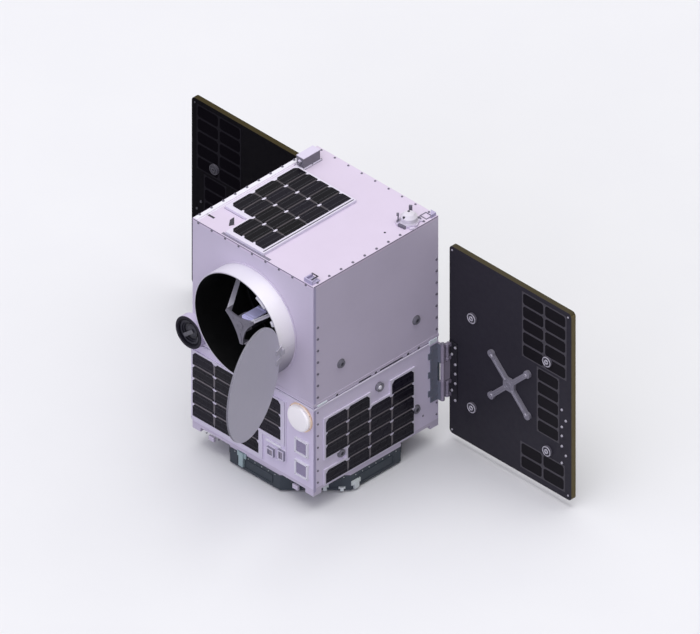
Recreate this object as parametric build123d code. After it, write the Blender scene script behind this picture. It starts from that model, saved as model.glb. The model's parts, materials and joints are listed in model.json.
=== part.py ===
from build123d import *
import math
import os

# A small box satellite: a bus of flat panels on a ring, a telescope with a hinged cover in its front,
# body-mounted solar cells, and two solar wings that fold against its sides.
# Frame: +X right, -Y front (the telescope looks that way), +Z up, origin under the ring's centre.

# Bus
bus_x = 450
bus_y = 465
bus_z = 675
ring_z = 6
adapter_z = 48
skin = 10
deck = 8
bay_z = 287
foot = 30
foot_z = 12
deck_lip = 1
heavy = 300
heavy_z = 170

# Ring and adapter
ring_out = 203
ring_in = 178
bolt_circle_r = 190.5
bolt_count = 24
bolt_hole_r = 3.3
adapter_flat = 225
adapter_bore = 165
clip_out = 7

# Telescope
tube_r = 159
tube_wall = 4
tube_clear = 11
rim_out = 60
tube_len = 410
collar_w = 4
collar_t = 3
mirror_t = 24
mirror_sag = 12
baffle_r = 34
baffle_len = 150
baffle_wall = 3
hub_tips = [33, 152, 276]
hub_tip = 58
hub_waist = 24
hub_t = 5
hub_back = 10
hub_nose = 11
strut_w = 11
strut_t = 6
strut_back = 150
cell_r = 24
cell_len = 30
drive_x = 4
drive_w = 36
drive_up = 5
drive_h = 28
drive_len = 63

# Cover
lid_inset = 2
lid_t = 5
lid_gap = 0.5
lid_open = 109.2
pin_r = 2
knuckle_r = 4.5
knuckle_len = 16
knuckle_count = 3
lug_w = 17
lug_deep = 14
arm_reach = 29
arm_t = 3
hinge_gap = 0.5
pin_gap = 0.2
seat_gap = 0.2

# Solar cells
cell_long = 80
cell_short = 39.5
cell_t = 1.2
cell_gap_long = 2
cell_gap_short = 1.8
cell_crop = 9
lip = 5
far_lip = 13
front_board_x = 4
front_board_down = 426
side_board_y = 42
side_board_down = 446
top_board_x = 36
top_board_y = 350
side_board = 4
top_board = 8

# Front face pieces
tracker_r = 48
tracker_out = 23
tracker_x = 8
tracker_down = 355
tracker_bore = 36
tracker_deep = 17
lens_r = 21
lens_t = 6
puck_r = 43
puck_t = 15
puck_x = 404.5
puck_gap = 9
window_w = 48
window_wall = 5
window_t = 7
window_deep = 3
window_x = 386
window_gap = 27
window_pitch = 71

# Top pieces
dome_x = 418
dome_y = 388
dome_hex = 27
dome_base_t = 7
dome_foot = 36
dome_foot_w = 14
dome_foot_t = 4
dome_r = 23
dome_h = 22
dome_bevel = 8
box_x = 37.5
box_y = 393.5
box_w = 27
box_d = 61
box_h = 34
bracket_w = 30
bracket_h = 12
bracket_t = 4

# Wings
wing_w = 454
wing_h = 602
wing_t = 16
wing_corner = 12
wing_drop = 103.5
wing_back = 30
wing_pin_out = 14
left_pin_out = 46
wing_edge = 2
wing_pin_back = 2
leaf_z = 180
leaf_w = 28
leaf_t = 3
leaf_up = 87
tab_count = 3
tab_y = 8
tab_z = 18
web_w = 8
wing_pin_r = 3
wing_knuckle_r = 6
wing_knuckles = 3
snub_r = 15.5
snub_t = 6
cross_half = 95
cross_w = 15
cross_t = 8
cross_hub = 40
boss_r = 11
cup_r = 11
cup_t = 6
catch_r = 13
catch_t = 8
pad_rim = 2
pad_mid = 242
pad_down = 439.5
pad_half_y = 140
pad_half_z = 144

bus_low = ring_z + adapter_z
bus_top = bus_low + bus_z
half_x = bus_x / 2
half_y = bus_y / 2
seam = bus_low + bay_z
tube_z = seam + deck + tube_clear + tube_r
rim_y = -half_y - rim_out
tube_end = rim_y + tube_len
tube_bore = tube_r - tube_wall
lid_r = tube_r - lid_inset
puck_down = bus_z - bay_z + puck_gap + puck_r
window_down = puck_down + puck_r + window_gap


def block(x0, x1, y0, y1, z0, z1):
    """A box between six planes."""
    return Pos((x0 + x1) / 2, (y0 + y1) / 2, (z0 + z1) / 2) * Box(x1 - x0, y1 - y0, z1 - z0)


def along_y(radius, y0, y1, x=0.0, z=tube_z):
    """A round bar along Y."""
    return Pos(x, (y0 + y1) / 2, z) * Rot(90, 0, 0) * Cylinder(radius, y1 - y0)


def upright(radius, x, y, z0, z1):
    """A round bar along Z."""
    return Pos(x, y, (z0 + z1) / 2) * Cylinder(radius, z1 - z0)


def plate(points, thick):
    """A flat plate from outline points, thick along +Z."""
    return extrude(make_face(Polyline(*points, close=True)), thick)


def polar(radius, angle):
    """A flat point from radius and degrees."""
    return (radius * math.cos(math.radians(angle)), radius * math.sin(math.radians(angle)))


def save(shape, name):
    """Write one node. A list becomes solids that do not touch."""
    if isinstance(shape, list):
        shape = Compound(shape)
    export_step(shape, f"parts/{name}.step")


# Local frames of the bus faces: x along the face, y up, z out of it.
front = Plane(origin=(-half_x, -half_y, bus_top), x_dir=(1, 0, 0), z_dir=(0, -1, 0)).location
right = Plane(origin=(half_x, -half_y, bus_top), x_dir=(0, 1, 0), z_dir=(1, 0, 0)).location
top = Plane(origin=(-half_x, -half_y, bus_top), x_dir=(1, 0, 0), z_dir=(0, 0, 1)).location


# The ring that the satellite stands on, and the eight-sided adapter above it.
def make_base():
    bolts = PolarLocations(bolt_circle_r, bolt_count)
    ring = Cylinder(ring_out, ring_z) - Cylinder(ring_in, ring_z)
    ring -= bolts * Cylinder(bolt_hole_r, ring_z)
    save(Pos(0, 0, ring_z / 2) * ring, "separation_ring")

    outline = RegularPolygon(adapter_flat, 8, major_radius=False, rotation=22.5)
    body = extrude(outline - Circle(adapter_bore), adapter_z)
    save(Pos(0, 0, ring_z) * body, "adapter")

    # release clips on the adapter: angle of the flat, place along it, width, lower and upper end
    clips = [
        (-90, -47, 16, 10, 54),
        (-45, 70, 9, 1, 12),
        (-45, 25, 10, 2, 20),
        (0, -76, 16, 2, 27),
        (90, 47, 16, 10, 54),
        (135, -60, 16, 2, 40),
        (180, 30, 16, 2, 40),
    ]
    near = adapter_flat
    solids = []
    for angle, along, width, low, high in clips:
        head = min(width, (high - low) / 2)
        clip = block(near, near + clip_out, along - width / 2, along + width / 2, low, high)
        clip += block(near, near + clip_out / 2, along - width, along + width, high - head, high)
        solids.append(Rot(0, 0, angle) * Pos(0, 0, ring_z) * clip)
    save(solids, "release_clips")


# The bus: flat panels that meet at their real edges.
def make_bus():
    floor_z = bus_low + foot_z
    inner_x = half_x - skin
    plinth = extrude(RegularPolygon(adapter_flat, 8, major_radius=False, rotation=22.5), foot_z)
    floor = block(-half_x, half_x, -half_y, half_y, floor_z, floor_z + skin)
    save(floor + Pos(0, 0, bus_low) * plinth, "base_plate")
    # lower bay and upper bay: name, lower edge, upper edge
    bays = [
        ("lower", floor_z + skin, seam),
        ("upper", seam + deck, bus_top - skin),
    ]
    for bay, z0, z1 in bays:
        front_panel = block(-half_x, half_x, -half_y, -half_y + skin, z0, z1)
        if bay == "upper":
            front_panel -= along_y(tube_r + hinge_gap, -half_y - 1, -half_y + skin + 1)
        save(front_panel, f"panel_{bay}_front")
        save(block(-half_x, half_x, half_y - skin, half_y, z0, z1), f"panel_{bay}_rear")
        for side, sign in (("right", 1), ("left", -1)):
            x0, x1 = sorted((sign * inner_x, sign * half_x))
            save(block(x0, x1, -half_y + skin, half_y - skin, z0, z1), f"panel_{bay}_{side}")
    out_x = half_x + deck_lip
    out_y = half_y + deck_lip
    tracker = front * Pos(tracker_x, -tracker_down, 0) * Cylinder(tracker_r + seat_gap, 2 * tracker_out)
    inside = block(-half_x, half_x, -half_y, half_y, seam, seam + deck)
    save(block(-out_x, out_x, -out_y, out_y, seam, seam + deck) - (tracker - inside), "mid_deck")
    save(block(-half_x, half_x, -half_y, half_y, bus_top - skin, bus_top), "panel_top")
    low = floor_z + skin
    save(block(-heavy / 2, heavy / 2, -heavy / 2, heavy / 2, low, low + heavy_z), "avionics")


# The telescope: tube, collar, mirrors, and the three-pointed hub on its struts.
def make_telescope():
    bore = along_y(tube_bore, rim_y - 1, tube_end - mirror_t)
    save(along_y(tube_r, rim_y, tube_end) - bore, "telescope_tube")

    collar = along_y(tube_r + collar_w, -half_y - collar_t, -half_y)
    collar -= along_y(tube_r + seat_gap, -half_y - collar_t, -half_y)
    outer_edge = collar.edges().filter_by(GeomType.CIRCLE).group_by(Axis.Y)[0].sort_by(SortBy.RADIUS)[-1]
    save(chamfer(outer_edge, collar_t - 2), "telescope_collar")

    mirror_back = tube_end - mirror_t
    sphere_r = (tube_bore ** 2 + mirror_sag ** 2) / (2 * mirror_sag)
    mirror = along_y(tube_bore - 0.5, mirror_back - mirror_t, mirror_back)
    mirror -= Pos(0, mirror_back - mirror_t + mirror_sag - sphere_r, tube_z) * Sphere(sphere_r)
    mirror -= along_y(baffle_r + seat_gap, mirror_back - mirror_t, mirror_back)
    save(mirror, "primary_mirror")

    stem_len = mirror_t + baffle_len / 3
    whole_len = mirror_t + baffle_len
    baffle = along_y(baffle_r, mirror_back - stem_len, mirror_back)
    baffle += along_y(baffle_r - baffle_wall, mirror_back - whole_len, mirror_back)
    baffle -= along_y(baffle_r - 2 * baffle_wall, mirror_back - whole_len, mirror_back)
    save(baffle, "central_baffle")

    # The hub: three tips with hollow sides between them, seen from the front.
    hub_y = rim_y + hub_back
    face = Plane(origin=(0, hub_y + hub_t, tube_z), x_dir=(1, 0, 0), z_dir=(0, -1, 0)).location
    half_tip = math.degrees(math.asin(hub_nose / 2 / hub_tip))
    edges = []
    for angle, following in zip(hub_tips, hub_tips[1:] + [hub_tips[0] + 360]):
        start = polar(hub_tip, angle + half_tip)
        deep = polar(hub_waist, (angle + following) / 2)
        end = polar(hub_tip, following - half_tip)
        edges.append(ThreePointArc(start, deep, end))
        edges.append(Line(end, polar(hub_tip, following + half_tip)))
    spider = extrude(make_face(edges), hub_t)
    wall = tube_bore - seat_gap
    strut = plate([
        (hub_tip - 1, hub_t / 2),
        (wall, -strut_back + strut_w / 2),
        (wall, -strut_back - strut_w),
        (hub_tip - strut_w - 1, -hub_t),
        (hub_tip - strut_w - 1, hub_t / 2),
    ], strut_t)
    for angle in hub_tips:
        spider += Rot(0, 0, angle) * Pos(0, strut_t / 2, 0) * Rot(90, 0, 0) * strut
    save(face * spider, "secondary_spider")

    cell_y = hub_y + hub_t
    low = tube_z + drive_up
    drive = block(drive_x, drive_x + drive_w, cell_y, cell_y + drive_len, low, low + drive_h)
    save(along_y(cell_r, cell_y, cell_y + cell_len) - drive, "secondary_cell")
    # the drive is cut clear of the strut beside it
    slot = Pos(hub_tip, 0, 0) * Box(hub_tip + 2 * strut_w, strut_t + 1, 2 * drive_len)
    save(drive - face * Rot(0, 0, hub_tips[0]) * slot, "secondary_drive")


def make_cover():
    hinge_x = tube_r + knuckle_r + hinge_gap
    hinge_y = rim_y - lid_gap - lid_t / 2
    swing = Pos(hinge_x, hinge_y, 0) * Rot(0, 0, lid_open) * Pos(-hinge_x, -hinge_y, 0)
    outer_y = hinge_y - lid_t / 2
    save(swing * along_y(lid_r, outer_y, outer_y + lid_t), "cover_disc")

    span = knuckle_count * knuckle_len
    low = tube_z - span / 2
    tube = along_y(tube_r + seat_gap, rim_y - lug_deep, rim_y + lug_deep)
    lug = []
    arms = []
    for index in range(knuckle_count):
        z0 = low + index * knuckle_len + hinge_gap / 2
        z1 = z0 + knuckle_len - hinge_gap
        knuckle = upright(knuckle_r, hinge_x, hinge_y, z0, z1)
        if index % 2:
            base = block(hinge_x - lug_w, hinge_x, hinge_y + knuckle_r, hinge_y + lug_deep, z0, z1)
            base += block(hinge_x - knuckle_r, hinge_x + knuckle_r, hinge_y, hinge_y + lug_deep, z0, z1)
            lug.append(base - tube + knuckle + upright(pin_r, hinge_x, hinge_y, low, low + span))
        else:
            arm = block(hinge_x - arm_reach, hinge_x, outer_y - arm_t, outer_y, z0, z1)
            arm += block(hinge_x - knuckle_r, hinge_x, outer_y - arm_t, hinge_y, z0, z1) + knuckle
            arms.append(swing * (arm - upright(pin_r + pin_gap, hinge_x, hinge_y, z0, z1)))
    save(lug, "cover_hinge_lug")
    save(arms, "cover_hinge_arms")


# One solar cell with two cropped corners, its long side along x.
def solar_cell():
    a = cell_long / 2
    b = cell_short / 2
    c = cell_crop
    return plate([(-a, -b), (a, -b), (a, b - c), (a - c, b), (c - a, b), (-a, b - c)], cell_t)


def cell_board(place, columns, origin, board, far, turned=False):
    """Cells and their stepped board. columns: first row and last row present, per run, for each column.
    far is how far the board reaches past the cells on its far side and at its foot."""
    step_x = cell_long + cell_gap_long
    step_y = cell_short + cell_gap_short
    if turned:
        step_x, step_y = step_y, step_x
    cells = []
    outline = None
    for column, runs in enumerate(columns):
        for first, last in runs:
            for row in range(first, last + 1):
                x = origin[0] + (column + 0.5) * step_x
                y = origin[1] - (row + 0.5) * step_y
                turn = 90 if turned else 0
                cells.append(place * Pos(x, y, board) * Rot(0, 0, turn) * solar_cell())
            low = origin[1] - (last + 1) * step_y - far
            high = origin[1] - first * step_y + lip
            left_x = origin[0] + column * step_x - lip
            right_x = origin[0] + (column + 1) * step_x + far
            patch = Pos((left_x + right_x) / 2, (low + high) / 2) * Rectangle(right_x - left_x, high - low)
            outline = patch if outline is None else outline + patch
    return place * extrude(outline, board), cells


def make_cells():
    columns = [[(0, 4)], [(0, 4)], [(0, 4)], [(0, 2)]]
    board, cells = cell_board(front, columns, (front_board_x, -front_board_down), side_board, far_lip)
    save(board, "front_board")
    save(cells, "front_cells")
    columns = [[(0, 2), (4, 4)], [(0, 4)], [(1, 4)], [(0, 4)]]
    board, cells = cell_board(right, columns, (side_board_y, -side_board_down), side_board, lip)
    for across, lower, radius, _ in side_pads():
        board -= right * Pos(across, -lower, 0) * Cylinder(radius + pad_rim, 3 * side_board)
    save(board, "right_board")
    save(cells, "right_cells")
    save(mirror(board, Plane.YZ), "left_board")
    save([mirror(cell, Plane.YZ) for cell in cells], "left_cells")
    # on top the rows are counted from the rear, so the last one is missing in two columns
    columns = [[(0, 2)], [(0, 2)], [(0, 3)], [(0, 3)], [(0, 3)]]
    board, cells = cell_board(top, columns, (top_board_x, top_board_y), top_board, far_lip, True)
    save(board, "top_board")
    save(cells, "top_cells")


def make_front_pieces():
    down = front * Pos(tracker_x, -tracker_down, 0)
    housing = Pos(0, 0, tracker_out / 2) * Cylinder(tracker_r, tracker_out)
    housing -= Pos(0, 0, tracker_out - tracker_deep / 2) * Cylinder(tracker_bore, tracker_deep)
    save(down * housing, "star_tracker")
    lens = Pos(0, 0, tracker_out - tracker_deep + lens_t / 2) * Cylinder(lens_r, lens_t)
    save(down * lens, "star_tracker_lens")

    seat = front * Pos(puck_x, -puck_down, 0)
    puck = Pos(0, 0, puck_t / 2 + 2) * Cylinder(puck_r - 4, puck_t - 4)
    save(seat * chamfer(puck.edges().group_by(Axis.Z)[-1], 3), "patch_antenna")
    save(seat * (Pos(0, 0, 2) * Cylinder(puck_r, 4)), "patch_antenna_base")

    frames = []
    for index in range(2):
        down = window_down + window_w / 2 + index * window_pitch
        centre = front * Pos(window_x + window_w / 2, -down, window_t / 2)
        opening = window_w - 2 * window_wall
        frame = Box(window_w, window_w, window_t)
        frames.append(centre * (frame - Pos(0, 0, window_t - window_deep) * Box(opening, opening, window_t)))
    save(frames, "sun_sensors")

    # connectors: centre across, centre down, width, height
    sockets = [(297, 603, 25, 25), (337, 594, 22, 30)]
    socket_t = 10
    solids = []
    for across, lower, width, height in sockets:
        socket = Box(width, height, socket_t) - Pos(0, 0, socket_t / 2) * Box(width - 6, height - 6, 6)
        solids.append(front * Pos(across, -lower, socket_t / 2) * socket)
    save(solids, "test_connectors")


def side_pads():
    """Cups and catch on a side: distance from the front, distance down, radius, height."""
    pads = [(pad_mid, pad_down, catch_r, catch_t)]
    for across in (pad_mid - pad_half_y, pad_mid + pad_half_y):
        for lower in (pad_down - pad_half_z, pad_down + pad_half_z):
            pads.append((across, lower, cup_r, cup_t))
    return pads


def make_side_pieces():
    solids = []
    for across, lower, radius, height in side_pads():
        placed = right * Pos(across, -lower, height / 2) * Cylinder(radius, height)
        solids.append(placed)
        solids.append(mirror(placed, Plane.YZ))
    save(solids, "side_cups")


def wing_hinge(pin_out):
    """Body leaf and wing leaf of a right-hand wing, at rest with the wing spread."""
    pin_x = half_x + pin_out
    pin_y = half_y + wing_pin_back
    low = bus_low + leaf_up
    step = leaf_z / wing_knuckles
    wing_y = half_y + wing_back
    leaf_y = half_y - leaf_w - leaf_t
    fixed = block(half_x, half_x + leaf_t, leaf_y, half_y, low, low + leaf_z)
    for tab in range(tab_count):
        z = low + leaf_z * (tab + 0.5) / tab_count
        fixed += block(half_x, half_x + leaf_t, leaf_y - tab_y, leaf_y, z - tab_z / 2, z + tab_z / 2)
    moving = block(pin_x, pin_x + leaf_w, wing_y - leaf_t, wing_y, low, low + leaf_z)
    for index in range(wing_knuckles):
        z0 = low + index * step + hinge_gap / 2
        z1 = z0 + step - hinge_gap
        barrel = upright(wing_knuckle_r, pin_x, pin_y, z0, z1)
        if index % 2:
            moving += block(pin_x - web_w / 2, pin_x + web_w / 2, pin_y, wing_y, z0, z1)
            moving += barrel - upright(wing_pin_r + pin_gap, pin_x, pin_y, z0 - 1, z1 + 1)
            moving -= upright(wing_pin_r + pin_gap, pin_x, pin_y, z0 - 1, z1 + 1)
        else:
            fixed += block(half_x, pin_x, half_y - wing_knuckle_r, pin_y, z0, z1)
            fixed += barrel
    fixed += upright(wing_pin_r, pin_x, pin_y, low, low + leaf_z)
    return fixed, moving


def wing_pieces(pin_out):
    """The pieces of a right-hand wing, and the body's leaf of its hinge."""
    inner = half_x + pin_out - wing_edge
    near = half_y + wing_back
    wing_top = bus_top - wing_drop
    centre = (inner + wing_w / 2, near, wing_top - wing_h / 2)
    face = Plane(origin=centre, x_dir=(1, 0, 0), z_dir=(0, -1, 0)).location
    # the pads line up with the body's cups when the wing is folded about its pin
    pads_x = bus_y + wing_pin_back - pad_mid - wing_w / 2 + wing_edge
    pads = Pos(pads_x, wing_drop + wing_h / 2 - pad_down, 0)

    panel = extrude(RectangleRounded(wing_w, wing_h, wing_corner), -wing_t)

    columns = int((wing_w - 2 * lip) // (cell_short + cell_gap_short))
    rows = int((wing_h - 2 * lip) // (cell_long + cell_gap_long))
    cells = []
    for column in range(columns):
        for row in range(rows):
            x = (column - (columns - 1) / 2) * (cell_short + cell_gap_short)
            y = (row - (rows - 1) / 2) * (cell_long + cell_gap_long)
            cells.append(Pos(x, y, -wing_t - cell_t) * Rot(0, 0, 90) * solar_cell())

    cross = None
    for angle in (45, 135):
        arm = Rot(0, 0, angle) * Box(2 * cross_half, cross_w, cross_t)
        cross = arm if cross is None else cross + arm
    cross += Box(cross_hub, cross_hub, cross_t)
    for angle in (45, 135, 225, 315):
        cross += Rot(0, 0, angle) * Pos(cross_half, 0, 0) * Cylinder(boss_r, cross_t)
    cross = pads * Pos(0, 0, cross_t / 2) * cross

    snubbers = []
    for x in (-pad_half_y, pad_half_y):
        for y in (-pad_half_z, pad_half_z):
            snubbers.append(pads * Pos(x, y, snub_t / 2) * Cylinder(snub_r, snub_t))

    fixed, moving = wing_hinge(pin_out)
    return [
        ("wing_{}_panel", face * panel),
        ("wing_{}_cells", [face * cell for cell in cells]),
        ("wing_{}_cross", face * cross),
        ("wing_{}_snubbers", [face * snub for snub in snubbers]),
        ("wing_{}_hinge", moving),
        ("hinge_leaf_{}", fixed),
    ]


def make_wings():
    for name, shape in wing_pieces(wing_pin_out):
        save(shape, name.format("right"))
    # the left wing hangs further out, so that it folds outside the star tracker
    for name, shape in wing_pieces(left_pin_out):
        solids = shape if isinstance(shape, list) else [shape]
        mirrored = [mirror(solid, Plane.YZ) for solid in solids]
        save(mirrored if len(mirrored) > 1 else mirrored[0], name.format("left"))


def make_top_pieces():
    save(top * Pos(box_x, box_y, box_h / 2) * Box(box_w, box_d, box_h), "top_box")

    seat = top * Pos(dome_x, dome_y, 0)
    base = extrude(RegularPolygon(dome_hex, 6, major_radius=False), dome_base_t)
    foot_plate = Pos(dome_foot / 2, 0, dome_foot_t / 2) * Box(dome_foot, dome_foot_w, dome_foot_t)
    for angle in (60, 150, 240, 330):
        base += Rot(0, 0, angle) * foot_plate
    save(seat * base, "dome_antenna_base")
    drum = Pos(0, 0, dome_base_t + dome_h / 2) * Cylinder(dome_r, dome_h)
    save(seat * chamfer(drum.edges().group_by(Axis.Z)[-1], dome_bevel), "dome_antenna")

    brackets = []
    bracket = Box(bracket_w, bracket_w, bracket_h)
    bracket -= Pos(bracket_t, bracket_t, bracket_t) * bracket
    corner = Pos(bus_x - bracket_w / 2 - 8, bracket_w / 2 + 3, bracket_h / 2)
    brackets.append(top * corner * bracket)
    gusset = plate([(0, 0), (0, 20), (-20, 20)], 10)
    brackets.append(top * Pos(bus_x - 4, bus_y - 24, 0) * gusset)
    save(brackets, "top_brackets")


def make_feet():
    solids = []
    for x in (-1, 1):
        for y in (-1, 1):
            x0, x1 = sorted((x * (half_x - foot), x * half_x))
            y0, y1 = sorted((y * (half_y - foot), y * half_y))
            solids.append(block(x0, x1, y0, y1, bus_low, bus_low + foot_z))
    save(solids, "corner_feet")


os.makedirs("parts", exist_ok=True)
make_base()
make_bus()
make_telescope()
make_cover()
make_cells()
make_front_pieces()
make_side_pieces()
make_wings()
make_top_pieces()
make_feet()
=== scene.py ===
# %% [markdown]
# # Dressing a small satellite
# The solids come from CAD and are loaded as a fixed frame. This script adds what CAD leaves out: paint,
# solar cells, screws, seams and trim, then light, floor and camera. Every length is in metres in the frame
# of the CAD model, and sizes are written in millimetres and multiplied by MM, because that is how the
# hardware is drawn.

# %% Load the frame
import json
import math
import bmesh
import bpy
from mathutils import Matrix, Vector


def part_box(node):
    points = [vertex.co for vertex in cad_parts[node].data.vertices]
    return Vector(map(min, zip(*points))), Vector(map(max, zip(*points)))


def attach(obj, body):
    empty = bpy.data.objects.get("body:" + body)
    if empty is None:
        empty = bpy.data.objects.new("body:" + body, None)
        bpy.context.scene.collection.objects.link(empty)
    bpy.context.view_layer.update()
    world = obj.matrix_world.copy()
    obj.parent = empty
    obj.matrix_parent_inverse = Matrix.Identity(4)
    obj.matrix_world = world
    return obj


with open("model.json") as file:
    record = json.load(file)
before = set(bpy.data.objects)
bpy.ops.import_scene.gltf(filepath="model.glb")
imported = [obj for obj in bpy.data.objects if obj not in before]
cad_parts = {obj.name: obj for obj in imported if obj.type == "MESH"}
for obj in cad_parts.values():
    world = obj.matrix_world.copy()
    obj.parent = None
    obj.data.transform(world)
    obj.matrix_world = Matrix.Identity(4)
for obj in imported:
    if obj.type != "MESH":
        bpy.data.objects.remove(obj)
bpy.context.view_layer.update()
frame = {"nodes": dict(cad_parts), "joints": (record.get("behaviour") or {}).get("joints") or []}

MM = 0.001
nodes = frame["nodes"]

# %% [markdown]
# The bus is a box, and most details sit on one of its faces. Each face gets a place of its own: x runs
# along the face, y up it and z out of it, from the face's upper left corner. A detail can then be written
# as it would be on the drawing of that panel, and one list serves any side. The corner points could be
# typed in, but they are read from the CAD nodes, so they follow the model. The cover's place comes from its
# joint: the closed place beside the rim, turned open about the pin, whatever the angle in the record.

# %% Places on the faces
X, Y, Z = Vector((1, 0, 0)), Vector((0, 1, 0)), Vector((0, 0, 1))
panel_low, panel_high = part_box("panel_top")
BUS_W = round((panel_high.x - panel_low.x) / MM)
BUS_D = round((panel_high.y - panel_low.y) / MM)
BUS_TOP = panel_high.z
BUS_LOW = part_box("base_plate")[0].z
BUS_H = (BUS_TOP - BUS_LOW) / MM


def place_of(origin, along, up, out):
    """The matrix that carries x, y, z to along, up and out at a point."""
    turn = Matrix((along, up, out)).transposed().to_4x4()
    return Matrix.Translation(origin) @ turn


def at(place, x, y, out=0.0, spin=0.0):
    """A place on a face, in millimetres along, up and out, turned by degrees about its own z."""
    moved = place @ Matrix.Translation((x * MM, y * MM, out * MM))
    return moved @ Matrix.Rotation(math.radians(spin), 4, "Z")


def box_on(face, node):
    """Low corner, high corner and middle of a node's box, in the millimetres of a face."""
    ends = [face.inverted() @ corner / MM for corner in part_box(node)]
    low = Vector([min(pair) for pair in zip(*ends)])
    high = Vector([max(pair) for pair in zip(*ends)])
    return low, high, (low + high) / 2


FRONT = place_of((panel_low.x, panel_low.y, BUS_TOP), X, Z, -Y)
RIGHT = place_of((panel_high.x, panel_low.y, BUS_TOP), Y, Z, X)
REAR = place_of((panel_high.x, panel_high.y, BUS_TOP), -X, Z, Y)
LEFT = place_of((panel_low.x, panel_low.y, BUS_TOP), Y, Z, -X)
TOP = place_of((panel_low.x, panel_low.y, BUS_TOP), X, Y, Z)
UNDER = place_of((panel_low.x, panel_high.y, BUS_LOW), X, -Y, -Z)
SIDES = (RIGHT, LEFT)
ROUND = ((FRONT, BUS_W), (REAR, BUS_W), (RIGHT, BUS_D), (LEFT, BUS_D))
CORNERS = [(a, b) for a in (-1, 1) for b in (-1, 1)]

wing_low, wing_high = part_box("wing_right_panel")
left_low, left_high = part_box("wing_left_panel")
WINGS = {
    "right": place_of((wing_low.x, wing_low.y, wing_high.z), X, Z, -Y),
    "left": place_of((left_high.x, left_low.y, left_high.z), -X, Z, -Y),
}

tube_low, tube_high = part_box("telescope_tube")
TUBE_Z = (tube_low.z + tube_high.z) / 2
TUBE_R = (tube_high.x - tube_low.x) / 2
joints = {joint["name"]: joint for joint in frame["joints"]}
pin = Vector(joints["cover_hinge"]["pos_m"])
opened = Matrix.Rotation(math.radians(-joints["cover_hinge"]["range_deg"][0]), 4, "Z")
PIN_TO_FACE = 2.5 * MM
closed_face = place_of((0, pin.y - PIN_TO_FACE, TUBE_Z), X, Z, -Y)
COVER = Matrix.Translation(pin) @ opened @ Matrix.Translation(-pin) @ closed_face
print("bus in mm:", BUS_W, BUS_D, round(BUS_H, 1), "tube radius:", round(TUBE_R, 4))

# %% [markdown]
# The photograph was taken along a parallel view from the front right and above, the isometric view of a
# drawing office, so the camera is orthographic. A perspective camera with a long lens would come near, but
# only a parallel one keeps all upright edges upright and equally long. The camera is set by one corner of
# the bus, the place of that corner in the picture, and how many pixels a metre takes.

# %% Camera
IMAGE_W, IMAGE_H = 700, 634
CORNER_PX, CORNER_PY = 313.4, 287.5
PIXELS_PER_M = 379.7
STAND_OFF = 3
view_right = Vector((1, 1, 0)).normalized()
view_back = Vector((1, -1, 1)).normalized()
view_up = view_back.cross(view_right)
bus_corner = Vector((panel_high.x, panel_low.y, panel_high.z))
across = (IMAGE_W / 2 - CORNER_PX) / PIXELS_PER_M
below = (IMAGE_H / 2 - CORNER_PY) / PIXELS_PER_M
centre = bus_corner + view_right * across - view_up * below
lens = bpy.data.cameras.new("camera")
lens.type = "ORTHO"
lens.ortho_scale = IMAGE_W / PIXELS_PER_M
camera = bpy.data.objects.new("camera", lens)
camera.matrix_world = place_of(centre + view_back * STAND_OFF, view_right, view_up, view_back)
bpy.context.scene.collection.objects.link(camera)
bpy.context.scene.camera = camera
print("camera sees", round(lens.ortho_scale, 3), "m across")

# %% [markdown]
# Shader trees and Geometry Nodes trees are made the same way: add a node, set its options, fill or link its
# inputs. One helper does that for both, so a tree reads as a list of steps. Inputs are named by their
# label, or by number where two share a label, as on a Math node. Colours are written as they look on a
# screen, from 0 to 255, and turned into the linear values that a shader wants.

# %% Node helpers
def put(tree, kind, inputs=None, **options):
    """Add a node, set its options, and fill or link its inputs."""
    made = tree.nodes.new(kind)
    for option, value in options.items():
        setattr(made, option, value)
    for key, value in (inputs or {}).items():
        socket = made.inputs[key]
        if isinstance(value, bpy.types.NodeSocket):
            tree.links.new(value, socket)
        else:
            socket.default_value = value
    return made


def shade(tree, kind, inputs=None, **options):
    """The outputs of a new shader node."""
    return put(tree, "ShaderNode" + kind, inputs, **options).outputs


def maths(tree, operation, a, b=0.0, clamp=False):
    """The output of a Math node."""
    return shade(tree, "Math", {0: a, 1: b}, operation=operation, use_clamp=clamp)[0]


def linear(red, green, blue):
    """A screen colour as the linear colour of a shader."""
    parts = [value / 255 for value in (red, green, blue)]
    return tuple(((v + 0.055) / 1.055) ** 2.4 if v > 0.04045 else v / 12.92 for v in parts) + (1.0,)


def blend(tree, share, a, b):
    """A colour between a and b, which are sockets, linear colours, or screen colours of three values."""
    a, b = [linear(*c) if isinstance(c, tuple) and len(c) == 3 else c for c in (a, b)]
    return shade(tree, "Mix", {0: share, 6: a, 7: b}, data_type="RGBA")[2]


print("helpers ready, mid grey", [round(v, 3) for v in linear(128, 128, 128)])

# %% [markdown]
# A finish is a base colour with three small departures from perfect: the colour drifts a little over the
# hand's width, the gloss differs from spot to spot, and the surface is not quite smooth. All three come
# from noise read in object coordinates, so they stay on the part when it moves. A flat colour would be
# quicker, and it is what makes a model look like plastic. Finishes are kept by name, and a piece is given
# the name of the one that it wears.

# %% The common finish
finishes = {}
# scales of the noise for a hand's and a thumb's width, the range it mostly keeps to, and what it does to gloss
HAND, THUMB = 9.0, 70.0
NOISE_LOW, NOISE_HIGH = 0.25, 0.75
GLOSSIER, DULLER = 0.85, 1.18


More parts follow.
